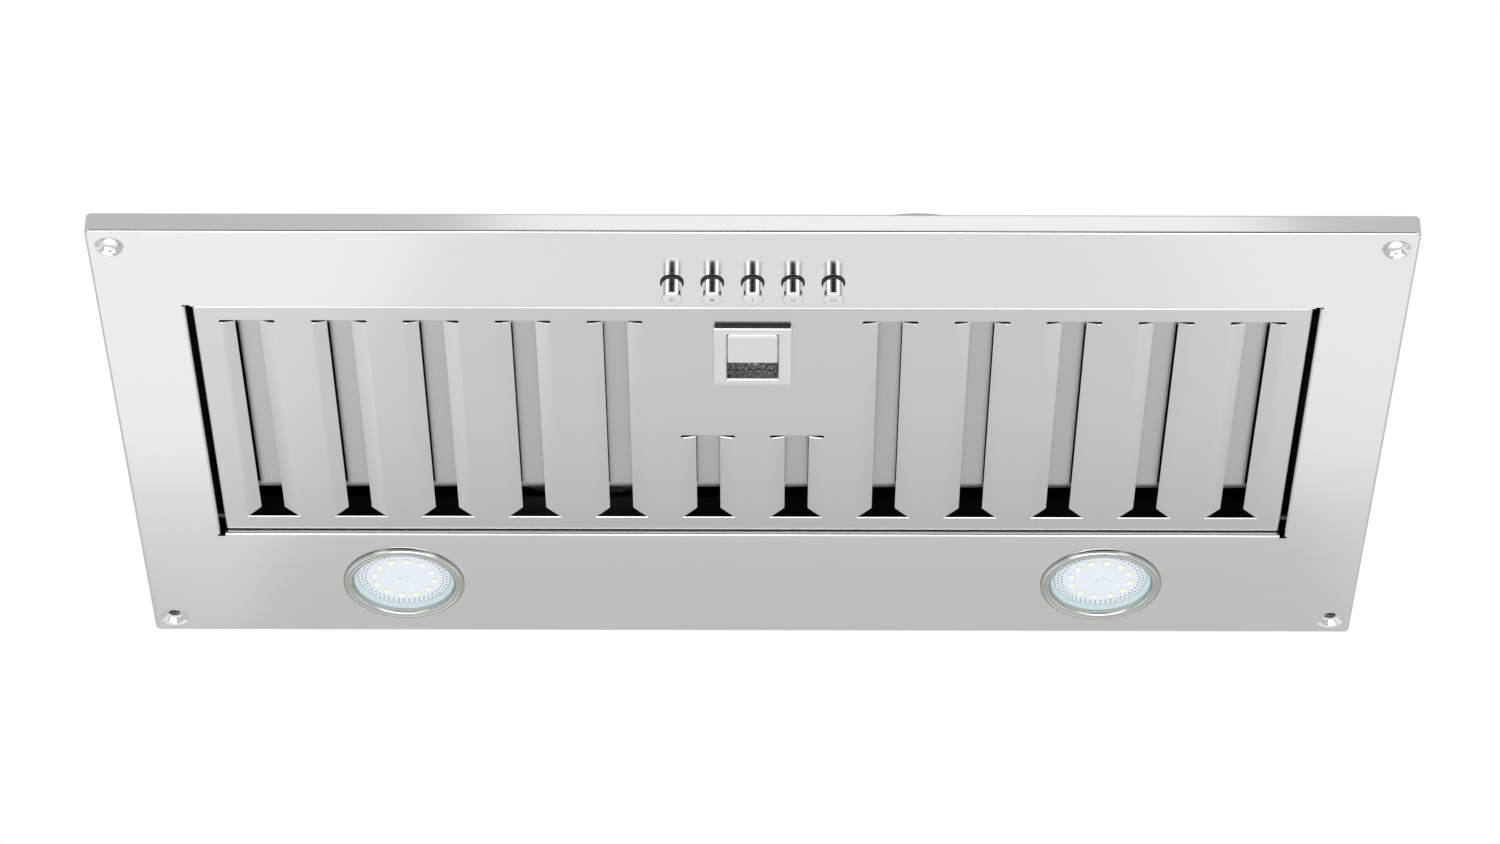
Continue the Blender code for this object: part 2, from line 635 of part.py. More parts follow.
def make_impeller():
    """A squirrel-cage wheel: a hub plate above, a shroud ring below and blades between them."""
    outer, inner, low, high, blades = 0.080, 0.068, 0.0665, 0.1135, 20
    wheel = turned("impeller", [
        (0.0043, 0.1165), (0.012, 0.1165), (0.012, high + 0.0015), (outer, high + 0.0015), (outer, high),
        (0.012, high), (0.012, 0.1030), (0.0043, 0.1030),
    ], GALVANISED, BLOWER, 32, closed=True)
    bm = bmesh.new()
    for index in range(blades):
        before = set(bm.verts)
        add_box(bm, (inner + 0.001, -0.0006, low + 0.0008), (outer - 0.001, 0.0006, high + 0.0007))
        fresh = [v for v in bm.verts if v not in before]
        middle = Vector(((inner + outer) / 2, 0, 0))
        bmesh.ops.rotate(bm, verts=fresh, cent=middle, matrix=Matrix.Rotation(math.radians(35), 3, "Z"))
        spin = Matrix.Rotation(2 * math.pi * index / blades, 3, "Z")
        bmesh.ops.rotate(bm, verts=fresh, cent=(0, 0, 0), matrix=spin)
    bmesh.ops.translate(bm, verts=bm.verts, vec=BLOWER)
    blade_ring = node("impeller_blades", mesh_of("impeller_blades", bm), None, cutter=True)
    shroud = flat("impeller_shroud", [circle(BLOWER, outer, 32), circle(BLOWER, inner, 32)], low, 0.0016,
                  cutter=True)
    join(wheel, blade_ring, shroud)
    cylinder("motor_shaft", BLOWER + Vector((0, 0, 0.100)), BLOWER + Vector((0, 0, 0.132)), 0.004, CHROME, 16)


def make_motor():
    base, top, radius = 0.1240, 0.1500, 0.045
    motor = turned("motor_body", [
        (0.0, top), (0.020, top), (0.022, top - 0.003), (radius - 0.004, top - 0.004), (radius, top - 0.008),
        (radius, base), (0.0, base),
    ], GREY, BLOWER, 32)
    reach = 0.056
    for index in range(3):
        turn = Matrix.Rotation(math.radians(90 + 120 * index), 4, "Z")
        bm = bmesh.new()
        add_box(bm, (radius - 0.006, -0.008, base), (reach + 0.007, 0.008, base + 0.002))
        bmesh.ops.transform(bm, matrix=Matrix.Translation(BLOWER) @ turn, verts=bm.verts)
        join(motor, node(f"motor_ear_{index + 1}", mesh_of("motor_ear", bm), None, cutter=True))
        place = BLOWER + turn.to_3x3() @ Vector((reach, 0, 0))
        foot = SCROLL_LID + SHEET + GAP
        turned(f"motor_mount_{index + 1}", [
            (0.0, base - GAP), (0.0065, base - GAP), (0.0052, (foot + base) / 2), (0.0065, foot), (0.0, foot),
        ], RUBBER, place, 16)
    cut(motor, cylinder("shaft_bore", BLOWER + Vector((0, 0, base - SHEET)), BLOWER + Vector((0, 0, 0.135)),
                        0.0046, sides=16, cutter=True))
    lead("motor_lead", [
        (BLOWER.x + radius + 0.0008, 0.080, 0.136), (-0.045, 0.080, 0.136), (-0.031, 0.060, 0.133),
        (-0.020, 0.025, 0.126), (0.000, -0.008, 0.1228), (0.060, -0.017, 0.1222), (0.120, -0.017, 0.1222),
        (0.174, -0.017, 0.1224), (0.1865, -0.017, 0.1222), (0.1930, -0.017, 0.115),
        (0.1945, -0.018, 0.100), (0.198, -0.018, 0.085), (0.2065, -0.018, 0.0792),
        (0.2147, -0.018, 0.079),
    ], 0.0025)


def make_duct():
    foot = SCROLL_LID + SHEET + GAP
    collar = turned("duct_collar", [
        (DUCT_RADIUS, DUCT_TOP), (DUCT_RADIUS, foot + SHEET), (DUCT_RADIUS + 0.008, foot + SHEET),
        (DUCT_RADIUS + 0.008, foot), (DUCT_RADIUS - SHEET, foot), (DUCT_RADIUS - SHEET, 0.1215),
        (0.0700, 0.1215), (0.0700, 0.1225), (DUCT_RADIUS - SHEET, 0.1225), (DUCT_RADIUS - SHEET, DUCT_TOP),
    ], GALVANISED, DUCT, 40, closed=True)
    axle = Vector((DUCT.x, DUCT.y, FLAP_AXIS_Z))
    reach = Vector((0, DUCT_RADIUS + 0.004, 0))
    cut(collar, cylinder("damper_pin_holes", axle - reach, axle + reach, 0.0023, sides=16, cutter=True))
    reach = Vector((0, DUCT_RADIUS + 0.0015, 0))
    cylinder("damper_pin", axle - reach, axle + reach, 0.002, CHROME, 12)
    make_damper_flaps(axle)


def make_damper_flaps(axle):
    """Two half discs that hang on the pin by alternate knuckles and rest shut on the collar's ledge."""
    low, thick, radius, edge = 0.1233, 0.001, 0.0722, 0.0046
    knuckles = {"left": ((-0.066, -0.034), (0.001, 0.033)), "right": ((-0.033, -0.001), (0.034, 0.066))}
    for side, word in ((-1, "left"), (1, "right")):
        start = math.asin(edge / radius)
        steps = 20
        arc = []
        for step in range(steps + 1):
            angle = -math.pi / 2 + start + (math.pi - 2 * start) * step / steps
            arc.append((DUCT.x + side * radius * math.cos(angle), DUCT.y + radius * math.sin(angle)))
        flap = flat(f"damper_flap_{word}", [arc], low, thick, GALVANISED)
        for number, (near, far) in enumerate(knuckles[word]):
            tube = cylinder(f"knuckle_{word}_{number}", axle + Vector((0, near, 0)),
                            axle + Vector((0, far, 0)), 0.0036, sides=16, cutter=True)
            x = sorted((DUCT.x + side * 0.0018, DUCT.x + side * 0.008))
            web = box(f"web_{word}_{number}", (x[0], DUCT.y + near, low + thick / 4),
                      (x[1], DUCT.y + far, low + 0.0018), cutter=True)
            join(flap, tube, web)
        reach = Vector((0, DUCT_RADIUS, 0))
        cut(flap, cylinder(f"knuckle_bore_{word}", axle - reach, axle + reach, 0.0023, sides=16, cutter=True))


# ---------------------------------------------------------------- wiring box
def make_junction_box():
    low, high = (0.215, -0.060, SUMP_TOP + GAP), (0.295, 0.030, 0.092)
    case = box("junction_box", low, high, GALVANISED)
    wall = 0.0012
    inside = box("box_inside", [c + wall for c in low], (high[0] - wall, high[1] - wall, high[2] + wall),
                 cutter=True)
    gland = Vector((high[0], -0.015, 0.077))
    hole = cylinder("gland_hole", gland - Vector((0.004, 0, 0)), gland + Vector((0.004, 0, 0)), 0.0083,
                    sides=16, cutter=True)
    cut(case, inside, hole)
    box("junction_box_cover", (low[0], low[1], high[2] + GAP), (high[0], high[1], high[2] + 0.0013),
        GALVANISED)
    turned("cable_gland", [
        (0.0045, 0.014), (0.0095, 0.014), (0.0110, 0.011), (0.0110, GAP), (0.0080, GAP), (0.0080, -0.006),
        (0.0045, -0.006),
    ], BLACK, gland, 12, closed=True, turn=(0, math.pi / 2, 0))
    floor = low[2] + wall + GAP
    box("terminal_block", (0.223, 0.004, floor), (0.271, 0.020, floor + 0.014), WHITE)
    start = Vector((0.232, -0.052, floor + 0.0125))
    cylinder("capacitor", start, start + Vector((0, 0.045, 0)), 0.0125, WHITE, 20)
    lead("switch_lead", [
        (0.0506, -0.1465, 0.010), (0.059, -0.1465, 0.010), (0.074, -0.147, 0.002),
        (0.100, -0.147, -0.0065), (0.170, -0.147, -0.0075), (0.225, -0.1465, -0.0065),
        (0.250, -0.1440, 0.004), (0.254, -0.1375, 0.022), (0.254, -0.1360, 0.0365),
        (0.254, -0.1185, 0.0510), (0.254, -0.101, 0.0655), (0.254, -0.085, 0.0665),
        (0.254, -0.070, 0.0710), (0.254, -0.0604, 0.0712),
    ], 0.0025)


make_face_panel()
make_filter_front()
make_filter_pins()
make_rear_baffle()
make_latch()
make_buttons()
make_switch_bank()
make_lamp(-1, "left")
make_lamp(1, "right")
make_lamp_supply()
make_sump()
make_scroll()
make_impeller()
make_motor()
make_duct()
make_junction_box()
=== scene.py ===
# %% [markdown]
# # An insert range hood, finished
# The solids of the hood come from its packed design as a fixed frame: every one has its real size and place.
# This lesson gives them their looks. It replaces the plain solids that show with finer meshes, made the way a
# sheet-metal shop or a moulder would make them, and paints every surface with a finish built from nodes.

# %% Load the frame
import json
import math

import bmesh
import bpy
from mathutils import Matrix, Vector, noise


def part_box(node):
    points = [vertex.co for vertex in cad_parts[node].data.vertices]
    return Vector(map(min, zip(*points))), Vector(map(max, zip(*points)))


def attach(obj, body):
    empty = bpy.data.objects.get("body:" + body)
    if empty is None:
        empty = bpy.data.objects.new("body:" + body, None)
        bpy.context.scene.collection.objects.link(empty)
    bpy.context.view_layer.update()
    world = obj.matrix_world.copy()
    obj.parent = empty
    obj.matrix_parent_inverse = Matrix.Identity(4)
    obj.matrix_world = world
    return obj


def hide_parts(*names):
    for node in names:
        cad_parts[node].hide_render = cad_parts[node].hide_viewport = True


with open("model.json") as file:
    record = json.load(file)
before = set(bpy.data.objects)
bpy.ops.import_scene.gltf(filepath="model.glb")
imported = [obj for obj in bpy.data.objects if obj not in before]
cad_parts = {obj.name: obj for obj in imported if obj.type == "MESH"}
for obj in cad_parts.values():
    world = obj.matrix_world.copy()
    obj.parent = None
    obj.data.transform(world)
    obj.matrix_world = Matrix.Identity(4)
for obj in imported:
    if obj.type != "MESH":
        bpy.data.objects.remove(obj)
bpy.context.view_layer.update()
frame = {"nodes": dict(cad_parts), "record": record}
slot_of = {row["node"]: row["material_slot"] for row in frame["record"]["subparts"]}
body_of = {node: body for body, nodes in frame["record"]["behaviour"]["bodies"].items() for node in nodes}

# %% [markdown]
# ## The camera
# The hood hangs above eye height, so the camera looks up at its underside from the cook's side. A long lens
# from over two metres away keeps the panel's sides nearly straight. The camera is pitched up at the hood
# and its lens is left unshifted, as with a real hood hung up in a studio.

# %% Camera
panel_low, panel_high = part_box("face_panel")
camera = bpy.data.objects.new("camera", bpy.data.cameras.new("camera"))
bpy.context.scene.collection.objects.link(camera)
camera.data.sensor_width = 36.0
camera.data.lens = 114.9
camera.location = (0.0024, -2.1631, -1.5555)
camera.rotation_euler = [math.radians(turn) for turn in (125.756, -0.154, -0.010)]
bpy.context.scene.camera = camera
print("lens", camera.data.lens, "mm, pitched up 36 degrees")

# %% [markdown]
# ## Shapes from loops of points
# Sheet metal is a flat blank with folds, so most pieces here are built in two moves. A flat area is filled
# between closed loops of points, and a fold or a turned wall is lofted from a loop to the next one along a
# profile. A Solidify modifier then gives the sheet its gauge. Flat areas stay truly flat and folds truly
# round, where a bevelled box would need cuts through both of its skins.

# %% Loops, lofts and fills
def arc_points(centre, radius, start, stop, steps):
    """Points along an arc in X and Y, angles in degrees."""
    turns = [math.radians(start + (stop - start) * step / steps) for step in range(steps + 1)]
    return [(centre[0] + radius * math.cos(a), centre[1] + radius * math.sin(a)) for a in turns]


def rounded(box, radius, steps=6):
    """Points round a rectangle (low x, low y, high x, high y) with rounded corners."""
    x0, y0, x1, y1 = box
    corners = ((x1, y1, -1, -1, 0), (x0, y1, 1, -1, 90), (x0, y0, 1, 1, 180), (x1, y0, -1, 1, 270))
    points = []
    for x, y, inward_x, inward_y, start in corners:
        centre = (x + inward_x * radius, y + inward_y * radius)
        points += arc_points(centre, radius, start, start + 90, steps)
    return points


def grown(box, by):
    return (box[0] - by, box[1] - by, box[2] + by, box[3] + by)


def ring(centre, radius, steps):
    return arc_points(centre, radius, 0, 360, steps)[:-1]


def add_loop(bm, points, height):
    return [bm.verts.new((x, y, height)) for x, y in points]


def loft(bm, lower, upper, closed=True):
    """Quads from one row of vertices to the next."""
    count = len(lower)
    for step in range(count if closed else count - 1):
        after = (step + 1) % count
        bm.faces.new((lower[step], lower[after], upper[after], upper[step]))
    return upper


def fill_between(bm, *loops):
    """A flat area bounded by closed loops of vertices, the first one outside."""
    edges = []
    for loop in loops:
        for a, b in zip(loop, loop[1:] + loop[:1]):
            edges.append(bm.edges.get((a, b)) or bm.edges.new((a, b)))
    bmesh.ops.triangle_fill(bm, use_beauty=True, edges=edges, normal=(0, 0, -1))


def facing(bm, direction):
    """Turns every face so that the surface as a whole faces a direction."""
    bmesh.ops.recalc_face_normals(bm, faces=bm.faces)
    lean = sum((face.normal * face.calc_area() for face in bm.faces), Vector())
    if lean.dot(Vector(direction)) < 0:
        bmesh.ops.reverse_faces(bm, faces=bm.faces)


print("loops, lofts and fills")

# %% [markdown]
# ## From a mesh to a piece of sheet
# A folded sheet shades well when its flat areas stay flat and only its folds are round. Sharp edges are marked
# by angle, and weighted normals let each large flat face decide the shading up to the edge of its fold.

# %% Sheets and turned pieces
def piece_of(name, bm, sharp=30.0):
    """The object of a bmesh, smooth but for its sharp edges."""
    mesh = bpy.data.meshes.new(name)
    bm.to_mesh(mesh)
    bm.free()
    made = bpy.data.objects.new(name, mesh)
    bpy.context.scene.collection.objects.link(made)
    mesh.shade_smooth()
    mesh.set_sharp_from_angle(angle=math.radians(sharp))
    return made


def folded(name, bm, gauge, outside=(0, 0, -1)):
    """A piece of sheet metal from its outer skin: the gauge goes to the inside."""
    facing(bm, outside)
    made = piece_of(name, bm)
    sheet = made.modifiers.new("gauge", "SOLIDIFY")
    sheet.thickness = gauge
    sheet.offset = -1.0
    even_normals(made)
    return made


def even_normals(piece):
    """Large flat faces decide the shading next to a fold."""
    weigh = piece.modifiers.new("even_normals", "WEIGHTED_NORMAL")
    weigh.keep_sharp = True
    weigh.weight = 90


def turned(name, profile, centre, steps=96, closed=True, sharp=30.0, turn=None):
    """A piece turned from a profile of (radius, height) points about its own Z."""
    bm = bmesh.new()
    loops = []
    for radius, height in profile:
        if radius > 0:
            loops.append(add_loop(bm, ring((0, 0), radius, steps), height))
        else:
            loops.append([bm.verts.new((0, 0, height))] * steps)
    pairs = list(zip(loops, loops[1:] + loops[:1])) if closed else list(zip(loops, loops[1:]))
    for upper, lower in pairs:
        for step in range(steps):
            after = (step + 1) % steps
            corners = [lower[step], lower[after], upper[after], upper[step]]
            distinct = list(dict.fromkeys(corners))
            if len(distinct) > 2:
                bm.faces.new(distinct)
    bmesh.ops.recalc_face_normals(bm, faces=bm.faces)
    place = Matrix.Translation(centre) @ (turn or Matrix.Identity(4))
    bm.transform(place)
    return piece_of(name, bm, sharp)


print("sheets and turned pieces")

# %% [markdown]
# ## Broken edges and cuts
# No real edge is a knife edge: a moulded or machined block has a small round on each, and that round is what
# catches the light. A Bevel modifier gives it. Slots and holes through a finished shape are cut by a Boolean,
# as a mill would cut them.

# %% Blocks, cuts and joins
def add_box(bm, low, high):
    low, high = Vector(low), Vector(high)
    place = Matrix.Translation((low + high) / 2) @ Matrix.Diagonal((*(high - low), 1.0))
    return bmesh.ops.create_cube(bm, size=1.0, matrix=place)["verts"]


def bevelled(piece, width, segments=3, angle=30.0):
    edge = piece.modifiers.new("edge", "BEVEL")
    edge.width = width
    edge.segments = segments
    edge.limit_method = "ANGLE"
    edge.angle_limit = math.radians(angle)
    edge.harden_normals = True
    return piece


def plain_box(name, low, high):
    bm = bmesh.new()
    add_box(bm, low, high)
    return piece_of(name, bm)


def bevelled_box(name, low, high, width, segments=3):
    return bevelled(plain_box(name, low, high), width, segments)


def carve(piece, cutter):
    """Cuts the cutter's shape out of a piece for good, and removes the cutter."""
    step = piece.modifiers.new("cut", "BOOLEAN")
    step.operation = "DIFFERENCE"
    step.solver = "EXACT"
    step.object = cutter
    bpy.context.view_layer.update()
    graph = bpy.context.evaluated_depsgraph_get()
    cut = bpy.data.meshes.new_from_object(piece.evaluated_get(graph))
    piece.modifiers.clear()
    piece.data = cut
    bpy.data.objects.remove(cutter)
    return piece


def joined(name, pieces):
    """Several pieces as one object, each keeping its own material."""
    bpy.context.view_layer.update()
    graph = bpy.context.evaluated_depsgraph_get()
    bm = bmesh.new()
    materials = []
    for piece in pieces:
        mesh = bpy.data.meshes.new_from_object(piece.evaluated_get(graph))
        mesh.transform(piece.matrix_world)
        start = len(bm.faces)
        bm.from_mesh(mesh)
        bm.faces.ensure_lookup_table()
        for face in bm.faces[start:]:
            face.material_index += len(materials)
        materials += list(mesh.materials) or [None]
        bpy.data.objects.remove(piece)
    made = piece_of(name, bm)
    for material in materials:
        made.data.materials.append(material)
    return made


print("blocks, cuts and joins")

# %% [markdown]
# ## Shader maths in Python
# A finish is a small graph of nodes. Wiring it call by call hides the idea, so one class wraps a socket and
# turns Python's operators into Math nodes: grain * 0.1 + 0.3 reads as what it does. Every other node comes
# from one method, which sets the node's own settings first and then its sockets.

# %% Sockets that can be added and multiplied
class Signal:
    """A socket of a graph, usable in expressions."""

    def __init__(self, graph, socket):
        self.graph = graph
        self.socket = socket

    def maths(self, operation, first, second=0.0):
        return self.graph.node("ShaderNodeMath", {"operation": operation}, {0: first, 1: second})

    def __add__(self, other):
        return self.maths("ADD", self, other)

    def __radd__(self, other):
        return self.maths("ADD", other, self)

    def __sub__(self, other):
        return self.maths("SUBTRACT", self, other)

    def __rsub__(self, other):
        return self.maths("SUBTRACT", other, self)

    def __mul__(self, other):
        return self.maths("MULTIPLY", self, other)

    def __rmul__(self, other):
        return self.maths("MULTIPLY", other, self)


print("signals ready")

# %% [markdown]
# ## A finish
# A finish is a material with one Principled shader. What is constant on the real surface is set straight on
# the shader's sockets, and what varies over it is driven by a signal. Patterns are placed by Object
# coordinates, in metres, so that they stay on the metal when a piece moves.

# %% Node trees and finishes
class Graph:
    """A node tree whose nodes are made by calls and expressions."""

    def __init__(self, tree):
        self.tree = tree

    def node(self, kind, settings=None, sockets=None, output=0):
        """One node: its settings first, then values or signals for its sockets."""
        made = self.tree.nodes.new(kind)
        for setting, value in (settings or {}).items():
            if setting == "stops":
                self.set_stops(made.color_ramp, value)
            else:
                setattr(made, setting, value)
        for socket, value in (sockets or {}).items():
            self.put(made.inputs[socket], value)
        return Signal(self, made.outputs[output])

    def put(self, socket, value):
        if isinstance(value, Signal):
            self.tree.links.new(value.socket, socket)
        elif isinstance(value, tuple) and socket.type == "RGBA":
            socket.default_value = (*value, 1.0)
        else:
            socket.default_value = value

    @staticmethod
    def set_stops(ramp, stops):
        while len(ramp.elements) < len(stops):
            ramp.elements.new(1.0)
        for element, (position, colour) in zip(ramp.elements, stops):
            element.position = position
            element.color = (*colour, 1.0)


class Finish(Graph):
    """A material: constants go straight to its shader's sockets, and signals drive the rest."""

    def __init__(self, name, roughness=0.5, metallic=0.0, **constants):
        self.material = bpy.data.materials.new(name)
        self.material.use_nodes = True
        super().__init__(self.material.node_tree)
        self.shader = self.tree.nodes["Principled BSDF"]
        constants = {"Roughness": roughness, "Metallic": metallic, **constants}
        for socket, value in constants.items():
            self.shader.inputs[socket.replace("_", " ")].default_value = value

    def drive(self, **signals):
        for socket, value in signals.items():
            self.put(self.shader.inputs[socket.replace("_", " ")], value)
        return self

    def place(self, stretch=(1, 1, 1)):
        """A point on the hood in metres, stretched along each axis."""
        spot = self.node("ShaderNodeTexCoord", output="Object")
        return self.node("ShaderNodeVectorMath", {"operation": "MULTIPLY"}, {0: spot, 1: stretch})

    def noise(self, stretch, detail=2.0, scale=1.0, roughness=0.5):
        sockets = {"Vector": self.place(stretch), "Scale": scale, "Detail": detail, "Roughness": roughness}
        return self.node("ShaderNodeTexNoise", {}, sockets)

    def blend(self, factor, low, high):
        """A colour between two others."""
        settings = {"data_type": "RGBA", "clamp_factor": True}
        return self.node("ShaderNodeMix", settings, {0: factor, 6: low, 7: high}, output=2)

    def bump(self, height, depth):
        return self.node("ShaderNodeBump", {}, {"Height": height, "Distance": depth, "Strength": 1.0})


print("graphs and finishes ready")

# %% [markdown]
# ## Stainless and galvanised sheet
# The panel is brushed stainless: the belt that polishes the coil leaves long fine scratches that all run along
# the sheet, here along X. A noise drawn out nearly two hundredfold along X gives them, and it varies colour,
# roughness and height together, because on the real sheet all three come from the same scratches. The filter
# is pressed from a smoother satin sheet, so it takes the same recipe with weaker grain. The galvanised sheet
# of the housing has spangle instead: zinc crystals, each a Voronoi cell with its own grey and gloss.

# %% Metals
def brushed(name, grey, roughness, grain):
    """Stainless sheet with its grain along X."""
    steel = Finish(name, metallic=1.0)
    scratches = steel.noise((14, 2600, 2600), detail=3.0, roughness=0.65)
    clouds = steel.noise((5, 9, 9), detail=2.0)
    worn = scratches * (2 * grain) + clouds * 0.06 + (0.5 - grain - 0.03)
    steel.drive(Base_Color=steel.blend(worn, (grey * 0.90,) * 3, (grey * 1.10,) * 3))
    steel.drive(Roughness=scratches * (0.9 * grain) + clouds * 0.04 + (roughness - 0.45 * grain - 0.02))
    steel.drive(Normal=steel.bump(scratches, 0.000004 * grain / 0.1))
    return steel


def zinc(name, grey, roughness):
    """Galvanised sheet with a faint spangle."""
    sheet = Finish(name, metallic=1.0)
    wander = sheet.noise((60, 60, 60), detail=1.0)
    spot = sheet.place((95, 95, 95))
    spot = sheet.node("ShaderNodeVectorMath", {"operation": "ADD"}, {0: spot, 1: wander})
    spangle = sheet.node("ShaderNodeTexVoronoi", {"feature": "F1"}, {"Vector": spot, "Scale": 1.0}, "Color")
    crystal = sheet.node("ShaderNodeSeparateColor", {}, {"Color": spangle})
    low = (grey * 0.86, grey * 0.87, grey * 0.88)
    high = (grey * 1.10, grey * 1.12, grey * 1.13)
    sheet.drive(Base_Color=sheet.blend(crystal, low, high))
    sheet.drive(Roughness=crystal * 0.12 + (roughness - 0.06))
    sheet.drive(Normal=sheet.bump(sheet.noise((900, 900, 900), detail=2.0), 0.00001))
    return sheet


def polished(name, colour, roughness, marks=0.03):
    """Plated or drawn metal with faint handling marks."""
    metal = Finish(name, metallic=1.0)
    haze = metal.noise((240, 240, 240), detail=3.0)
    fine = metal.noise((1800, 1800, 1800), detail=2.0)
    dull = tuple(c * 0.93 for c in colour)
    metal.drive(Base_Color=metal.blend(haze, dull, colour))
    metal.drive(Roughness=haze * marks + fine * marks + (roughness - marks))
    metal.drive(Normal=metal.bump(fine, 0.000002))
    return metal


finishes = {
    "panel_steel": brushed("panel_steel", 0.79, 0.15, 0.13),
    "filter_steel": brushed("filter_steel", 0.64, 0.22, 0.05),
    "galvanised": zinc("galvanised", 0.56, 0.38),
    "bright_steel": polished("bright_steel", (0.66, 0.66, 0.68), 0.22),
    "button_chrome": polished("button_chrome", (0.84, 0.84, 0.85), 0.07),
    "latch_chrome": polished("latch_chrome", (0.80, 0.80, 0.80), 0.20),
}
print(len(finishes), "metal finishes")

# %% [markdown]
# ## Plastics, rubber and paint
# Mouldings are never one flat colour: the resin flows in soft clouds, the tool's spark texture breaks up the
# gloss, and both are very fine. One recipe with a colour, a gloss and a grain size serves the black bushes,
# the switch body, the lead insulation, the white driver case and the rubber mounts. The motor's cast shell is
# painted, so it has the slight orange peel of a sprayed coat.

# %% Mouldings and paint
def moulded(name, colour, roughness, grain=2500, depth=0.00001, mottle=0.12):
    part = Finish(name)
    clouds = part.noise((35, 35, 35), detail=3.0)
    spark = part.noise((grain, grain, grain), detail=2.0)
    low = tuple(c * (1 - mottle) for c in colour)
    high = tuple(min(1.0, c * (1 + mottle)) for c in colour)
    part.drive(Base_Color=part.blend(clouds, low, high))
    part.drive(Roughness=spark * 0.10 + clouds * 0.06 + (roughness - 0.08))
    part.drive(Normal=part.bump(spark, depth))
    return part


finishes["bush_black"] = moulded("bush_black", (0.012, 0.012, 0.013), 0.32)
finishes["switch_black"] = moulded("switch_black", (0.02, 0.02, 0.022), 0.45, depth=0.00002)
finishes["lead_black"] = moulded("lead_black", (0.018, 0.018, 0.018), 0.50)
finishes["lead_white"] = moulded("lead_white", (0.72, 0.72, 0.70), 0.45, mottle=0.04)
finishes["rubber"] = moulded("rubber", (0.025, 0.025, 0.025), 0.80, depth=0.00003)
finishes["motor_paint"] = moulded("motor_paint", (0.16, 0.17, 0.18), 0.38, grain=900, depth=0.00002)
finishes["driver_case"] = moulded("driver_case", (0.78, 0.78, 0.76), 0.42, mottle=0.03)
finishes["terminal_white"] = moulded("terminal_white", (0.70, 0.70, 0.66), 0.38, mottle=0.04)
finishes["lamp_can"] = moulded("lamp_can", (0.30, 0.31, 0.32), 0.45, grain=1200)
# Near black and grainy: painted shade for the inside of the sump, where little light reaches.
painted_shade = moulded("painted_shade_inside", (0.010, 0.010, 0.010), 0.85, grain=700, depth=0.00006, mottle=0.3)
print(len(finishes), "finishes in all, and a black lining for the sump")

# %% [markdown]
# ## Lamp finishes
# The bezel is satin nickel. Its lacquer is thin enough to interfere with light, so a grazing view shows faint
# purple and green: a colour ramp over the viewing angle of Layer Weight gives that for any camera. The lens is
# clear glass with the slight teal of iron in its edge, see-through face on and stronger at grazing angles. The
# board is white solder mask with a faint blue cast, and its faint glow is painted light, so that it looks lit.

# %% Nickel, glass and board
def lacquered_nickel():
    nickel = Finish("lamp_nickel", metallic=1.0)
    facing = nickel.node("ShaderNodeLayerWeight", {}, {"Blend": 0.5}, "Facing")
    stops = [(0.0, (0.62, 0.62, 0.60)), (0.45, (0.54, 0.56, 0.52)), (0.66, (0.40, 0.42, 0.38)),
             (0.82, (0.30, 0.24, 0.27)), (1.0, (0.60, 0.56, 0.58))]
    film = nickel.node("ShaderNodeValToRGB", {"stops": stops}, {"Fac": facing})
    haze = nickel.noise((300, 300, 300), detail=3.0)
    nickel.drive(Base_Color=nickel.blend(haze * 0.3, film, (0.54, 0.54, 0.52)))
    nickel.drive(Roughness=haze * 0.08 + 0.16)
    return nickel


def lens_glass():
    glass = Finish("lamp_glass", Specular_IOR_Level=0.6)
    facing = glass.node("ShaderNodeLayerWeight", {}, {"Blend": 0.3}, "Facing")
    smear = glass.noise((90, 90, 90), detail=2.0)
    glass.drive(Base_Color=glass.blend(smear, (0.66, 0.80, 0.82), (0.74, 0.86, 0.88)))
    glass.drive(Roughness=smear * 0.06 + 0.03)
    glass.drive(Alpha=facing * 0.30 + 0.05)
    return glass


# The emission is painted light on the board, the reflector cone and the prism dots; on the chips' phosphor it
# is the lamp's own light.
def lit_board(name, colour, glow):
    board = Finish(name, roughness=0.45, Emission_Strength=glow)
    grain = board.noise((800, 800, 800), detail=2.0)
    low = tuple(c * 0.96 for c in colour)
    tone = board.blend(grain, low, colour)
    board.drive(Base_Color=tone, Emission_Color=tone)
    return board


finishes["lamp_nickel"] = lacquered_nickel()
finishes["lamp_glass"] = lens_glass()
finishes["lamp_board"] = lit_board("lamp_board", (0.74, 0.75, 0.80), 0.10)
led_phosphor = lit_board("led_phosphor", (0.95, 0.90, 0.42), 0.55)
reflector = lit_board("reflector", (0.58, 0.72, 0.73), 0.06)
print(len(finishes), "slots have a finish")


# %% [markdown]
# ## Fitting a piece to the frame
# A finer piece stands for the plain solid it was made from: it moves with the same body, takes the same
# material slot and hides the solid, which goes on working for collision.

# %% Fit and finish
def fit(piece, *nodes, slot=None, body=None):
    """A piece takes its body, slot and finish from the solids that it stands for."""
    slot = slot or slot_of[nodes[0]]
    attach(piece, body or body_of[nodes[0]])
    if nodes:
        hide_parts(*nodes)
    if not piece.data.materials or piece.data.materials[0] is None:
        piece.data.materials.clear()
        piece.data.materials.append(finishes[slot].material)
    return piece


def settle(piece, sharp=30.0):
    """Applies the modifiers and marks the edges that stay sharp."""
    bpy.context.view_layer.update()
    graph = bpy.context.evaluated_depsgraph_get()
    mesh = bpy.data.meshes.new_from_object(piece.evaluated_get(graph))
    piece.modifiers.clear()
    piece.data = mesh
    mesh.shade_smooth()
    mesh.set_sharp_from_angle(angle=math.radians(sharp))
    even_normals(piece)
    return piece


print("pieces can be fitted")

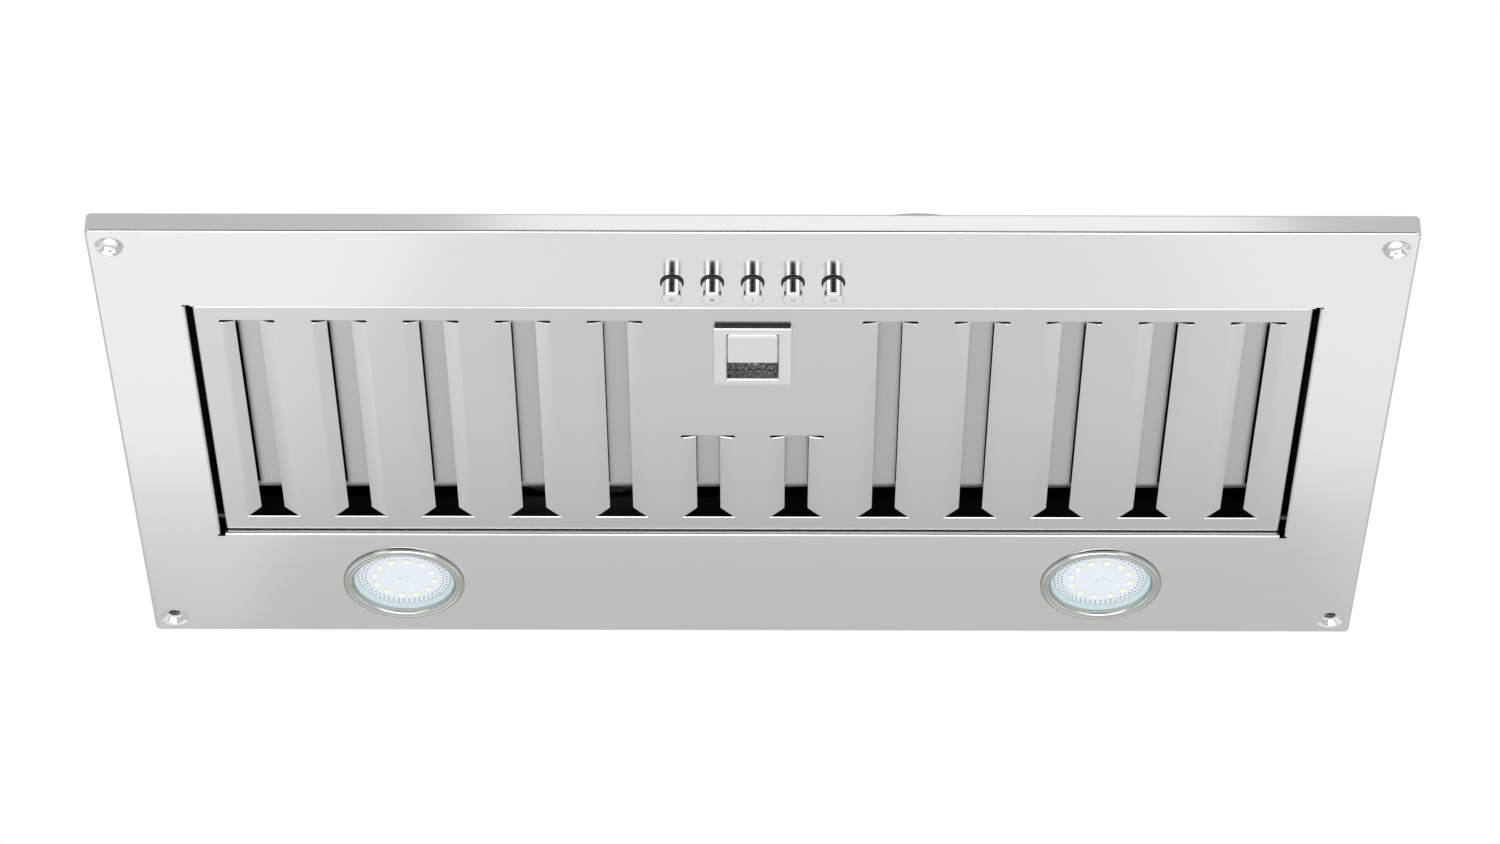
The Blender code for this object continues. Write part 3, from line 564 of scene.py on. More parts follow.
# %% [markdown]
# ## The face panel
# One blank of 1 mm stainless: its four sides are folded up into a rim with a lip on top that seats under the
# canopy, the big opening has a flange folded up on each side, and four countersunk dimples are pressed in the
# corners. A box with holes cut in it would have knife edges. Here the face is filled between loops, and each
# fold is swept as a quarter round, which is what draws a bright line along every bend. The flanges stop short
# of the opening's corners, where a small slit keeps the sheet from tearing.

# %% Profiles of the folds
FOLD = 0.0016
LIP = 0.006
PANEL_GAUGE = 0.001


def fold(radius, steps=6):
    """Points of a quarter fold, as how far out and how far up from its flat side."""
    turns = [math.pi / 2 * step / steps for step in range(steps + 1)]
    return [(radius * math.sin(a), radius * (1 - math.cos(a))) for a in turns]


def swept(bm, box, corner, profile):
    """Lofts a rounded rectangle along a profile of (growth, height); returns its first loop."""
    loops = [add_loop(bm, rounded(grown(box, out), max(corner + out, 0.0002)), z) for out, z in profile]
    for lower, upper in zip(loops, loops[1:]):
        loft(bm, lower, upper)
    return loops[0]


def sunk(bm, centre, profile, base, steps=40):
    """Lofts a round hollow along a profile of (radius, rise); returns its first loop."""
    loops = [add_loop(bm, ring(centre, radius, steps), base + rise) for radius, rise in profile]
    for lower, upper in zip(loops, loops[1:]):
        loft(bm, lower, upper)
    return loops[0]


face = panel_low.z
rim_box = (panel_low.x, panel_low.y, panel_high.x, panel_high.y)
rim_profile = [(out - FOLD, face + up) for out, up in fold(FOLD)]
rim_profile += [(-up, -FOLD + out) for out, up in fold(FOLD)]
rim_profile.append((-LIP, 0.0))
print(len(rim_profile), "points across the rim")

# %% [markdown]
# ## The filter's opening
# The opening is cut short of its final size, and a flange is folded up along each side of it. The fold makes
# the bright line round the opening. The flanges can't meet at the corners without tearing the sheet, so each
# corner has a small slit that frees them.

# %% The opening with its flanges
OPENING = (-0.3033, -0.1235, 0.3033, 0.0900)
FLANGE_TOP = -0.002
FLANGE_FOLD = 0.0014
SLIT_REACH, SLIT_DEPTH = 0.0042, 0.0009


def corner_slit(x, y, side_x, side_y):
    """The relief at one corner of the opening, from its side flange to its end flange."""
    across, along = x + side_x * 0.0003, y + side_y * SLIT_DEPTH
    soft = 0.0004
    stop = x - side_x * SLIT_REACH
    points = [(x, y - side_y * 0.0006), (across, y - side_y * 0.0004)]
    points += [(across, along - side_y * soft), (across - side_x * soft, along)]
    points += [(stop + side_x * soft, along), (stop, along - side_y * soft), (stop, y)]
    return points


def opening_with_flanges(bm):
    """The opening's loop in the face, with a flange folded up between each two corner reliefs."""
    x0, y0, x1, y1 = grown(OPENING, FLANGE_FOLD)
    corners = ((x1, y1, 1, 1), (x0, y1, -1, 1), (x0, y0, -1, -1), (x1, y0, 1, -1))
    slits = []
    for number, corner in enumerate(corners):
        points = corner_slit(*corner)
        slits.append(add_loop(bm, points if number % 2 == 0 else points[::-1], face))
    whole = []
    for number, slit in enumerate(slits):
        following = slits[(number + 1) % 4]
        whole += slit
        outward = Vector(((0, 1), (-1, 0), (0, -1), (1, 0))[number])
        start = [slit[-1], following[0]]
        edge = start
        for out, up in fold(FLANGE_FOLD)[1:]:
            row = [bm.verts.new((v.co.x - outward.x * out, v.co.y - outward.y * out, face + up))
                   for v in start]
            edge = loft(bm, edge, row, closed=False)
        top = [bm.verts.new((v.co.x, v.co.y, FLANGE_TOP)) for v in edge]
        loft(bm, edge, top, closed=False)
    return whole


print("reliefs reach", 1000 * SLIT_REACH, "mm along the end flanges")

# %% [markdown]
# ## Holes and dimples
# The lamps and buttons drop into plain round holes, placed under their own solids. The four screw dimples are
# pressed: the sheet is drawn up into a cone, so its edge is round and a screw's head sits flush in it.

# %% Build the panel
DIMPLE = [(0.0084, 0.0), (0.0078, 0.00006), (0.0071, 0.0003), (0.0063, 0.0009), (0.0054, 0.0018),
          (0.0047, 0.0025), (0.0042, 0.0028), (0.0037, 0.0029), (0.0034, 0.0030)]
SCREWS = [(x, y) for x in (-0.338, 0.338) for y in (-0.176, 0.1765)]
lamp_places = {}
for side in ("left", "right"):
    low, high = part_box(f"lamp_bezel_{side}")
    lamp_places[side] = ((low.x + high.x) / 2, (low.y + high.y) / 2)
button_places = []
for number in range(1, 6):
    low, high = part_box(f"button_bush_{number}")
    button_places.append(((low.x + high.x) / 2, (low.y + high.y) / 2))

bm = bmesh.new()
holes = [swept(bm, rim_box, 0.003, rim_profile), opening_with_flanges(bm)]
holes += [sunk(bm, place, DIMPLE, face) for place in SCREWS]
holes += [sunk(bm, place, [(0.0305, 0.0)], face, 96) for place in lamp_places.values()]
holes += [sunk(bm, place, [(0.0059, 0.0)], face, 48) for place in button_places]
fill_between(bm, *holes)
panel = settle(folded("panel_sheet", bm, PANEL_GAUGE))
print(len(panel.data.polygons), "faces on the panel sheet")

# %% [markdown]
# ## Holes for the pivot pins
# The filter hangs on two pins in the side flanges. Their holes are drilled after folding, so they are cut
# through the finished sheet with a little clearance.

# %% Pivot holes and fitting
def pin_cutter(name, node, reach, clearance=0.0003):
    """A bar along X through a pivot pin, to cut its hole."""
    low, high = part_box(node)
    centre = (low + high) / 2
    radius = 0.002 + clearance
    profile = [(0.0, reach), (radius, reach), (radius, -reach), (0.0, -reach)]
    return turned(name, profile, centre, 24, closed=False, turn=Matrix.Rotation(math.pi / 2, 4, "Y"))


for side in ("left", "right"):
    carve(panel, pin_cutter(f"pivot_cutter_{side}", f"filter_pin_{side}", 0.006))
settle(panel)
fit(panel, "face_panel")
print("panel gauge", 1000 * PANEL_GAUGE, "mm")

# %% [markdown]
# ## The baffle filter's front sheet
# A tray of 0.8 mm satin stainless with twelve slots. Each slot starts as a relief cut and two straight shears,
# then the press turns both its edges up as curved flaps, so grease runs down behind them. A flap is a surface
# that bends only across the slot, so a few rows of points across it describe it exactly. Its corner at the far
# end is sheared obliquely, which leaves the dark wedge at the foot of every slot.

# %% Slots and flaps
FILTER_GAUGE = 0.0008
filter_low, filter_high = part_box("filter_front")
skin = filter_low.z
SLOT_PITCH, SLOTS = 0.0494, 12
SLOT_EDGE, BEND = 0.0066, 0.0152
SLOT_FAR, TAPER = 0.0760, 0.0080
LONG_NEAR, SHORT_NEAR = -0.1094, -0.0040
RELIEF = 0.0028
FLAP_RISE = 0.0012
BURR = 0.0004


def relief_edge(x, near, sign):
    """The relief cut's boundary at x: its ends are half round."""
    over = max(0.0, abs(x) - (BEND - RELIEF / 2))
    half = math.sqrt(max(0.0, (RELIEF / 2) ** 2 - over ** 2))
    return near + RELIEF / 2 + sign * half


def add_flap(bm, centre, near, side, steps=8):
    """One flap as rows of points across the slot; returns its bend line's three points."""
    columns = []
    for step in range(steps + 1):
        u = step / steps
        x = BEND - u * (BEND - SLOT_EDGE)
        z = skin + FLAP_RISE * u ** 1.5
        start = relief_edge(x, near, 1)
        lifted = z + (BURR if step else 0.0)
        rows = ((start, lifted), (start + BURR, z), (SLOT_FAR - TAPER * u, z))
        columns.append([bm.verts.new((centre + side * x, y, height)) for y, height in rows])
    for before, after in zip(columns, columns[1:]):
        loft(bm, before, after, closed=False)
    return columns[0]


def add_slot(bm, centre, near):
    """A slot's two flaps and its loop in the tray's face."""
    right, left = add_flap(bm, centre, near, 1), add_flap(bm, centre, near, -1)
    round_x = [BEND - RELIEF / 2 * (1 - math.cos(math.radians(a))) for a in (18, 36, 54, 72, 90)]
    relief = [(x, relief_edge(x, near, -1)) for x in round_x]
    relief += [(-x, y) for x, y in reversed(relief)]
    base = add_loop(bm, [(centre + x, y) for x, y in relief], skin)
    ends = (-BEND + BURR, BEND - BURR)
    brink = add_loop(bm, [(centre + x, SLOT_FAR + BURR) for x in ends], skin)
    edge = add_loop(bm, [(centre + x, SLOT_FAR) for x in ends], skin + BURR)
    loft(bm, brink, edge, closed=False)
    return [*reversed(right), *base, *left, *brink]


print("flaps rise", 1000 * FLAP_RISE, "mm")

# %% [markdown]
# ## The tray
# The face is filled in one go between the tray's edge, the latch hole and the twelve slots. The edge is folded
# up all round with a small radius, which makes the sheet stiff and hides its raw edge.

# %% Build the front sheet
FILTER_FOLD = 0.0013
tray_box = (filter_low.x, filter_low.y, filter_high.x, filter_high.y)
tray_profile = [(out - FILTER_FOLD, skin + up) for out, up in fold(FILTER_FOLD)]
tray_profile.append((0.0, filter_high.z))
LATCH_HOLE = (-0.0162, -0.1027, 0.0162, -0.0577)

bm = bmesh.new()
loops = [swept(bm, tray_box, 0.0016, tray_profile)]
loops.append(add_loop(bm, rounded(LATCH_HOLE, 0.0005, 2), skin))
middle = (SLOTS // 2 - 1, SLOTS // 2)
for index in range(SLOTS):
    centre = (index - (SLOTS - 1) / 2) * SLOT_PITCH
    loops.append(add_slot(bm, centre, SHORT_NEAR if index in middle else LONG_NEAR))
fill_between(bm, *loops)
front = settle(folded("filter_front_sheet", bm, FILTER_GAUGE))
print(len(front.data.polygons), "faces on the filter's front sheet")

# %% [markdown]
# ## The rest of the filter
# The tongue of the catch comes out through a notch in the tray's near wall. The rear sheet and the pins are
# right as solids, so a copy of each only gets its edges broken. The rear sheet is duller than the front one,
# and the pins are blackened.

# %% Notch for the catch, pivot holes, fitting
near_wall_y = filter_low.y
notch = plain_box("notch", (-0.0074, near_wall_y - 0.002, -0.0016), (0.0074, near_wall_y + 0.002, 0.0013))
carve(front, notch)
for side in ("left", "right"):
    carve(front, pin_cutter(f"pin_cutter_{side}", f"filter_pin_{side}", 0.006))
settle(front)
fit(front, "filter_front")


def made_whole(bm, node):
    """Loads a CAD solid with its flat faces whole again."""
    bm.from_mesh(frame["nodes"][node].data)
    bmesh.ops.remove_doubles(bm, verts=bm.verts, dist=0.00001)
    bmesh.ops.dissolve_limit(bm, angle_limit=math.radians(1.0), verts=bm.verts, edges=bm.edges)


def softened(name, node, width, segments=2, sharp=50.0):
    """A CAD solid's own shape with its edges broken, fitted in its place."""
    bm = bmesh.new()
    made_whole(bm, node)
    return fit(bevelled(piece_of(name, bm, sharp), width, segments, sharp), node)


dull_steel = brushed("baffle_steel", 0.53, 0.30, 0.05)
rear = softened("rear_baffle_sheet", "filter_rear_baffle", 0.00018)
rear.data.materials[0] = dull_steel.material
blackened = polished("blackened_steel", (0.06, 0.06, 0.06), 0.45)
for side in ("left", "right"):
    pin = softened(f"pivot_pin_{side}", f"filter_pin_{side}", 0.0003, sharp=40)
    pin.data.materials[0] = blackened.material
print("filter fitted")

# %% [markdown]
# ## The latch
# The catch that holds the filter up is a plated plate with a window in it. Behind the window a sliding plate
# carries the tongue, and a finger pressed into the rough scoop beside it draws the plate back against a
# spring. The bezel is one closed casting: a chamfered plate, and a pocket behind it cut out in steps. The
# scoop's cast pebbles are real bumps, raised by a fixed noise, so that they catch the light from any side.

# %% Bezel
bezel_low, bezel_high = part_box("latch_bezel")
BEZEL_BACK = -0.0103
POCKET = (-0.0159, -0.1023, 0.0159, -0.0581)
WINDOW = (-0.0139, -0.1003, 0.0139, -0.0601)
plate_box = (bezel_low.x, bezel_low.y, bezel_high.x, bezel_high.y)


def bezel_body():
    bm = bmesh.new()
    pocket = [add_loop(bm, rounded(POCKET, 0.0006), z) for z in (BEZEL_BACK, bezel_high.z)]
    loft(bm, *pocket)
    fill_between(bm, pocket[1])
    rim_steps = [(0.0, BEZEL_BACK), (0.0, bezel_low.z + 0.0005), (-0.0004, bezel_low.z + 0.0001),
                 (-0.0006, bezel_low.z)]
    edge = [add_loop(bm, rounded(grown(plate_box, out), 0.0011 + out), z) for out, z in rim_steps]
    for lower, upper in zip(edge, edge[1:]):
        loft(bm, lower, upper)
    window_steps = [(0.0007, bezel_low.z), (0.0, bezel_low.z + 0.0007), (0.0, bezel_low.z + 0.0012)]
    lip = [add_loop(bm, rounded(grown(WINDOW, out), 0.0004 + out), z) for out, z in window_steps]
    for lower, upper in zip(lip, lip[1:]):
        loft(bm, lower, upper)
    fill_between(bm, lip[-1])
    fill_between(bm, edge[-1], lip[0])
    fill_between(bm, edge[0], pocket[0])
    bmesh.ops.recalc_face_normals(bm, faces=bm.faces)
    return piece_of("latch_plate", bm)


bezel = bezel_body()
depth = bezel_low.z + 0.0010
x, near, far = WINDOW[2], WINDOW[1], WINDOW[3]
carve(bezel, plain_box("lane", (-x, near, depth), (x, -0.0775, 0.0015)))
carve(bezel, plain_box("scoop", (-x, -0.0785, depth), (x, far, -0.0045)))
carve(bezel, plain_box("spring_bore", (-0.003, -0.078, -0.0034), (0.003, far, 0.0012)))
carve(bezel, plain_box("tongue_slit", (-0.0074, -0.1035, -0.0016), (0.0074, -0.0995, 0.0013)))
settle(bezel)
fit(bezel, "latch_bezel")
print(len(bezel.data.polygons), "faces on the bezel")

# %% [markdown]
# ## The finger scoop
# The scoop and the wall nearest the cook are dark grey. On the near wall that grey is painted shade and a
# painted dark reflection. The scoop's bumps give a finger some grip. A fine grid of points is raised and
# lowered by two sizes of noise, and then gets a thickness so that it is a real shell.

# %% Pebbled scoop
# Dark grey for the scoop and the near wall; on the near wall it is painted shade and dark reflection.
dark_grey_and_shade = moulded("dark_scoop_and_shade", (0.13, 0.13, 0.13), 0.36, grain=1500, depth=0.00004, mottle=0.5)
dark_grey_and_shade.shader.inputs["Metallic"].default_value = 0.8


def pebbles(columns=56, rows=30):
    """A bumpy sheet that lines the scoop, sloping up to the slide plate."""
    bm = bmesh.new()
    grid = []
    for row in range(rows + 1):
        v = row / rows
        y = -0.0772 + v * (far + 0.0772 - 0.0002)
        line = []
        for column in range(columns + 1):
            x_here = -WINDOW[2] + 0.0002 + column / columns * (2 * WINDOW[2] - 0.0004)
            spot = Vector((x_here * 900, y * 900, 3.7))
            height = 0.0011 * noise.noise(spot) + 0.0005 * noise.noise(spot * 2.3)
            line.append(bm.verts.new((x_here, y, -0.0064 + 0.0010 * (1 - v) - height)))
        grid.append(line)
    for lower, upper in zip(grid, grid[1:]):
        loft(bm, lower, upper, closed=False)
    facing(bm, (0, 0, -1))
    scoop = piece_of("scoop_lining", bm, 60)
    sheet = scoop.modifiers.new("thickness", "SOLIDIFY")
    sheet.thickness = 0.0004
    sheet.offset = -1.0
    return scoop


scoop = pebbles()
scoop.data.materials.append(dark_grey_and_shade.material)
fit(scoop, slot="latch_chrome", body="filter")
# A thin dark sheet over the bezel's near wall, standing for painted shade and a dark reflection there.
wall_x = plate_box[2] - 0.0008
near_wall = bevelled_box("shaded_near_wall", (-wall_x, bezel_low.y - 0.00015, bezel_low.z + 0.0005),
                         (wall_x, bezel_low.y + 0.0004, BEZEL_BACK), 0.0001)
near_wall.data.materials.append(dark_grey_and_shade.material)
fit(near_wall, slot="latch_chrome", body="filter")
print(len(scoop.data.polygons), "faces on the pebbles")

# %% [markdown]
# ## The catch and its spring
# The sliding plate has a ridge for the fingertip. Its block and tongue are one casting with it. The coil spring
# is drawn along a curve and turned into a mesh, and a slot in the block clears it over the whole travel.

# %% Slide plate and spring
slider_low, slider_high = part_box("latch_slider")
plate_face = -0.0123
PLATE = (slider_low.x, WINDOW[1] + 0.0003, slider_high.x, slider_high.y + 0.0012)


def slide_plate():
    """The plate with a ridge at its near edge, the tongue, and a block slotted to clear the spring."""
    low = (PLATE[0], PLATE[1] + 0.0016, plate_face)
    plate = bevelled_box("plate", low, (PLATE[2], PLATE[3], -0.0103), 0.0004)
    ridge = bevelled_box("ridge", (PLATE[0] + 0.0004, PLATE[1], plate_face - 0.0001),
                         (PLATE[2] - 0.0004, PLATE[1] + 0.0017, -0.0103), 0.0005)
    block = bevelled_box("block", (-0.009, -0.0985, -0.0104), (0.009, -0.0840, slider_high.z), 0.0003)
    slot = plain_box("spring_slot", (-0.0024, -0.0905, -0.0036), (0.0024, -0.0835, 0.0020))
    carve(block, slot)
    tongue = bevelled_box("tongue", (-0.007, slider_low.y, -0.0012), (0.007, -0.0975, 0.0009), 0.0006)
    slide = joined("latch_slide", [plate, ridge, block, tongue])
    even_normals(slide)
    return slide


fit(slide_plate(), "latch_slider")


def coil_spring(name, radius, wire, turns, start, stop, height, steps=24):
    """A compression spring along Y, swept along one curve and then kept as a mesh."""
    curve = bpy.data.curves.new(name, "CURVE")
    curve.dimensions = "3D"
    curve.bevel_depth = wire
    curve.bevel_resolution = 3
    curve.use_fill_caps = True
    spline = curve.splines.new("POLY")
    count = turns * steps
    spline.points.add(count)
    for step, point in enumerate(spline.points):
        angle = 2 * math.pi * step / steps
        along = start + (stop - start) * step / count
        point.co = (radius * math.cos(angle), along, height + radius * math.sin(angle), 1.0)
    drawn = bpy.data.objects.new(name, curve)
    bpy.context.scene.collection.objects.link(drawn)
    return joined(name, [drawn])


spring_low, spring_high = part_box("latch_spring")
wire = 0.0003
coil = coil_spring("return_spring", (spring_high.x - spring_low.x) / 2 - wire, wire, 7, spring_low.y + wire,
                   spring_high.y - wire, (spring_low.z + spring_high.z) / 2)
fit(coil, "latch_spring")
print("latch fitted")

# %% [markdown]
# ## Push buttons
# Five plated buttons stand in black bushes. Each is turned: a stem, a polished barrel, a fine groove, a
# broken edge and a satin end that is a shallow dome. The end carries a small pictogram, filled grey as if
# etched: a lamp, a stop square and one, two or three bars for the fan speeds.

# %% Buttons and bushes
button_low, button_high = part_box("button_1")
barrel = 0.0055
end = button_low.z
etched = moulded("etched_mark", (0.30, 0.30, 0.31), 0.5, mottle=0.1)
satin_end = polished("button_end", (0.86, 0.86, 0.87), 0.34)


def mark_outlines(number):
    """Flat outlines of a button's generic mark, in millimetres from its centre."""
    bars = {3: (0.0,), 4: (-0.7, 0.7), 5: (-1.3, 0.0, 1.3)}
    if number in bars:
        return [[(x - 0.3, -1.2), (x + 0.3, -1.2), (x + 0.3, 1.2), (x - 0.3, 1.2)] for x in bars[number]]
    if number == 2:
        return [[(-1.1, -1.1), (1.1, -1.1), (1.1, 1.1), (-1.1, 1.1)]]
    rays = []
    for step in range(8):
        turn = Matrix.Rotation(math.radians(45 * step), 2)
        corners = ((1.5, -0.18), (2.2, -0.18), (2.2, 0.18), (1.5, 0.18))
        rays.append([tuple(turn @ Vector(corner)) for corner in corners])
    return [ring((0, 0), 0.9, 20), *rays]


def make_button(number, place):
    profile = [(0.0, button_high.z), (0.0018, button_high.z), (0.0020, button_high.z - 0.0002),
               (0.0020, -0.006), (barrel - 0.0002, -0.006), (barrel, -0.0062), (barrel, end + 0.0011),
               (barrel - 0.00012, end + 0.0010), (barrel - 0.00012, end + 0.0008), (barrel, end + 0.0007),
               (barrel - 0.0001, end + 0.0004), (barrel - 0.0003, end + 0.00022),
               (barrel - 0.0006, end + 0.00014)]
    cap = [(barrel - 0.0006, end + 0.00014), (barrel * 0.6, end + 0.00006), (0.0, end)]
    body = turned(f"barrel_{number}", profile, (*place, 0.0), 64, closed=False)
    face_end = turned(f"end_{number}", cap, (*place, 0.0), 64, closed=False)
    bm = bmesh.new()
    for outline in mark_outlines(number):
        base = add_loop(bm, [(place[0] + x / 1000, place[1] + y / 1000) for x, y in outline], end + 0.0002)
        tip = add_loop(bm, [(v.co.x, v.co.y) for v in base], end - 0.00001)
        loft(bm, base, tip)
        fill_between(bm, tip)
        fill_between(bm, base)
    bmesh.ops.recalc_face_normals(bm, faces=bm.faces)
    mark = piece_of(f"mark_{number}", bm)
    for piece, finish in ((body, finishes["button_chrome"]), (face_end, satin_end), (mark, etched)):
        piece.data.materials.append(finish.material)
    whole = joined(f"push_button_{number}", [body, face_end, mark])
    fit(whole, f"button_{number}")


def make_bush(number, place):
    low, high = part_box(f"button_bush_{number}")
    low.z += 0.0005
    flange, seat = (high.x - low.x) / 2, face - 0.0003
    soft = 0.0004
    bore, neck = barrel + 0.0001, barrel + 0.0003
    profile = [(bore, high.z), (neck, high.z), (neck, seat), (flange, seat), (flange, low.z + soft),
               (flange - 0.0001, low.z + soft / 2), (flange - 0.0003, low.z), (bore + 0.0002, low.z),
               (bore, low.z + soft / 2)]
    fit(turned(f"bush_{number}", profile, (*place, 0.0), 64, sharp=50), f"button_bush_{number}")


for number, place in enumerate(button_places, 1):
    make_button(number, place)
    make_bush(number, place)
print(len(button_places), "buttons, barrel", round(2000 * barrel, 1), "mm across")

# %% [markdown]
# ## Lamps
# Each lamp is a sprung can dropped into a round hole from below. Its nickel bezel rolls over the hole's edge,
# a glass lens sits in it, and close behind the lens is a white board with twelve light-emitting chips in a
# ring. Two rings of fine dots near its rim are the moulded prisms that spread the light. Every chip and dot is
# its own small solid, because the lens is clear and a drawn one would stay flat when seen from the side.

# %% Lamp pieces
LENS_TOP, BOARD_FACE = -0.0114, -0.0090


def dome(bm, x, y, radius, base, drop, steps=10):
    """A shallow drop on the board, pointing down."""
    rim_loop = add_loop(bm, ring((x, y), radius, steps), base)
    mid = add_loop(bm, ring((x, y), radius * 0.7, steps), base - drop * 0.7)
    loft(bm, rim_loop, mid)
    tip = bm.verts.new((x, y, base - drop))
    for step in range(steps):
        bm.faces.new((mid[step], mid[(step + 1) % steps], tip))


def board_dots(name, centre):
    bm = bmesh.new()
    for radius, count, shift in ((0.0225, 46, 0.0), (0.0246, 52, 0.5)):
        for step in range(count):
            angle = 2 * math.pi * (step + shift) / count
            dome(bm, centre[0] + radius * math.cos(angle), centre[1] + radius * math.sin(angle), 0.00065,
                 BOARD_FACE - 0.00005, 0.00035, 8)
    bmesh.ops.recalc_face_normals(bm, faces=bm.faces)
    return piece_of(name, bm)


def led_chips(name, centre):
    """Twelve chips in a ring, each a case with a pillow of phosphor, and two screw heads in the middle."""
    cases, drops = bmesh.new(), bmesh.new()
    for step in range(12):
        angle = 2 * math.pi * (step + 0.3) / 12
        spot = Vector((centre[0] + 0.0173 * math.cos(angle), centre[1] + 0.0173 * math.sin(angle), 0))
        turn = Matrix.Translation(spot) @ Matrix.Rotation(angle, 4, "Z")
        low, high = (-0.0015, -0.0019, BOARD_FACE - 0.0007), (0.0015, 0.0019, BOARD_FACE)
        verts = add_box(cases, low, high)
        bmesh.ops.transform(cases, matrix=turn, verts=verts)
        verts = add_box(drops, (-0.0012, -0.0015, low[2] - 0.00015), (0.0012, 0.0015, low[2] + 0.0001))
        bmesh.ops.transform(drops, matrix=turn, verts=verts)
    case = bevelled(piece_of(name + "_cases", cases), 0.00015, 2)
    pillow = bevelled(piece_of(name + "_phosphor", drops), 0.00015, 2)
    case.data.materials.append(finishes["driver_case"].material)
    pillow.data.materials.append(led_phosphor.material)
    heads = []
    for side in (-1, 1):
        spot = (centre[0] + side * 0.0022, centre[1] - side * 0.0008, 0.0)
        head = [(0.0, BOARD_FACE), (0.0009, BOARD_FACE), (0.0009, BOARD_FACE - 0.0003),
                (0.0006, BOARD_FACE - 0.0005), (0.0003, BOARD_FACE - 0.0005), (0.00025, BOARD_FACE - 0.0003),
                (0.0, BOARD_FACE - 0.0003)]
        pin = turned(f"{name}_head_{side + 1}", head, spot, 20, closed=False)
        pin.data.materials.append(finishes["bright_steel"].material)
        heads.append(pin)
    return joined(name, [case, pillow, *heads])


print("lamp pieces ready")

# %% [markdown]
# ## A lamp from its turned pieces
# The bezel, lens, board and can are all round, so each is one profile turned about the lamp's centre. A thin
# cone between the board and the lens throws the light forward.

# %% Build both lamps
# The prism dots glow faintly, and that glow is painted light.
dot_glaze = lit_board("board_dots", (0.12, 0.18, 0.26), 0.04)


def make_lamp(side):
    centre = lamp_places[side]
    low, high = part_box(f"lamp_bezel_{side}")
    outer, seat, inner, lip = (high.x - low.x) / 2, face - 0.0003, 0.0292, low.z
    profile = [(0.0302, high.z), (0.0302, seat), (outer, seat), (outer, seat - 0.0004),
               (outer - 0.0003, seat - 0.0011), (outer - 0.0009, lip + 0.0003), (outer - 0.0017, lip),
               (outer - 0.0024, lip + 0.0001), (outer - 0.0029, lip + 0.0004), (outer - 0.0033, lip + 0.0004),
               (outer - 0.0041, lip + 0.0001), (inner + 0.0009, lip + 0.0003), (inner + 0.0003, lip + 0.0008),
               (inner, lip + 0.0014), (inner, high.z)]
    fit(turned(f"bezel_{side}", profile, (*centre, 0.0), 128, sharp=50), f"lamp_bezel_{side}")
    lens = [(0.0, LENS_TOP), (0.0286, LENS_TOP), (0.0289, LENS_TOP - 0.0003), (0.0289, -0.0127),
            (0.0286, -0.0130), (0.0280, -0.0131), (0.0272, -0.0129), (0.0262, -0.0131), (0.0140, -0.0133),
            (0.0, -0.0134)]
    fit(turned(f"lens_{side}", lens, (*centre, 0.0), 128, closed=False, sharp=60), f"lamp_lens_{side}")
    disc = [(0.0, -0.0080), (0.0262, -0.0080), (0.0264, -0.0082), (0.0264, BOARD_FACE + 0.0002),
            (0.0262, BOARD_FACE), (0.0, BOARD_FACE)]
    fit(turned(f"board_{side}", disc, (*centre, 0.0), 96, closed=False), f"lamp_board_{side}")
    cone = [(0.0267, BOARD_FACE + 0.0002), (0.0267, BOARD_FACE), (0.0284, -0.0112), (0.0290, -0.0112),
            (0.0290, BOARD_FACE + 0.0002)]
    # The cone's faint glow is painted light.
    light_ring = turned(f"reflector_{side}", cone, (*centre, 0.0), 96)
    light_ring.data.materials.append(reflector.material)
    fit(light_ring, slot="lamp_board", body="root")
    fit(led_chips(f"led_chips_{side}", centre), slot="lamp_board", body="root")
    dots = board_dots(f"prism_dots_{side}", centre)
    dots.data.materials.append(dot_glaze.material)
    fit(dots, slot="lamp_board", body="root")
    make_can(side, centre)


def make_can(side, centre):
    """The spun can behind the board, with a groove rolled round it, and its two spring clips."""
    low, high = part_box(f"lamp_can_{side}")
    radius, wall, top = (high.x - low.x) / 2, 0.0010, high.z
    outside = [(radius, low.z), (radius, -0.0060), (radius - 0.0006, -0.0055), (radius - 0.0006, -0.0045),
               (radius, -0.0040), (radius, top - 0.0055), (radius - 0.0012, top - 0.0038),
               (radius - 0.0052, top - 0.0005), (radius - 0.0066, top), (0.012, top), (0.0112, top - 0.0006),
               (0.0, top - 0.0006)]
    inside = [(0.0, top - 0.0006 - wall), (0.011, top - wall - 0.0006), (radius - 0.0070, top - wall),
              (radius - wall - 0.0008, top - 0.0055), (radius - wall - 0.0006, low.z)]
    fit(turned(f"can_{side}", outside + inside, (*centre, 0.0), 96, sharp=40), f"lamp_can_{side}")
    for end_name in ("a", "b"):
        softened(f"clip_{side}_{end_name}", f"lamp_clip_{side}_{end_name}", 0.00015)


for side in ("left", "right"):
    make_lamp(side)
print("two lamps, each with 12 chips and 98 dots")

# %% [markdown]
# ## The sump
# The sump is the folded hood above the filter that gathers the air. It is one galvanised blank, folded up on
# five lines and turned out at the foot. Its inside faces are near black, and that black is painted shade for
# the dark inside the sump. The inlet ring hangs in its round hole: spun sheet, curled into the mouth of the
# wheel so that the air turns in smoothly.

# %% Sump and inlet ring
sump_low, sump_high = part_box("sump_housing")
sump = softened("sump", "sump_housing", 0.0003, sharp=20)
sump.data.materials.append(painted_shade.material)
heart = (sump_low + sump_high) / 2
# The inward faces above the foot take the near-black painted shade.
for sheet_face in sump.data.polygons:
    inward = sheet_face.normal.dot(heart - sheet_face.center) > 0
    if inward and sheet_face.center.z > sump_low.z + 0.004:
        sheet_face.material_index = 1

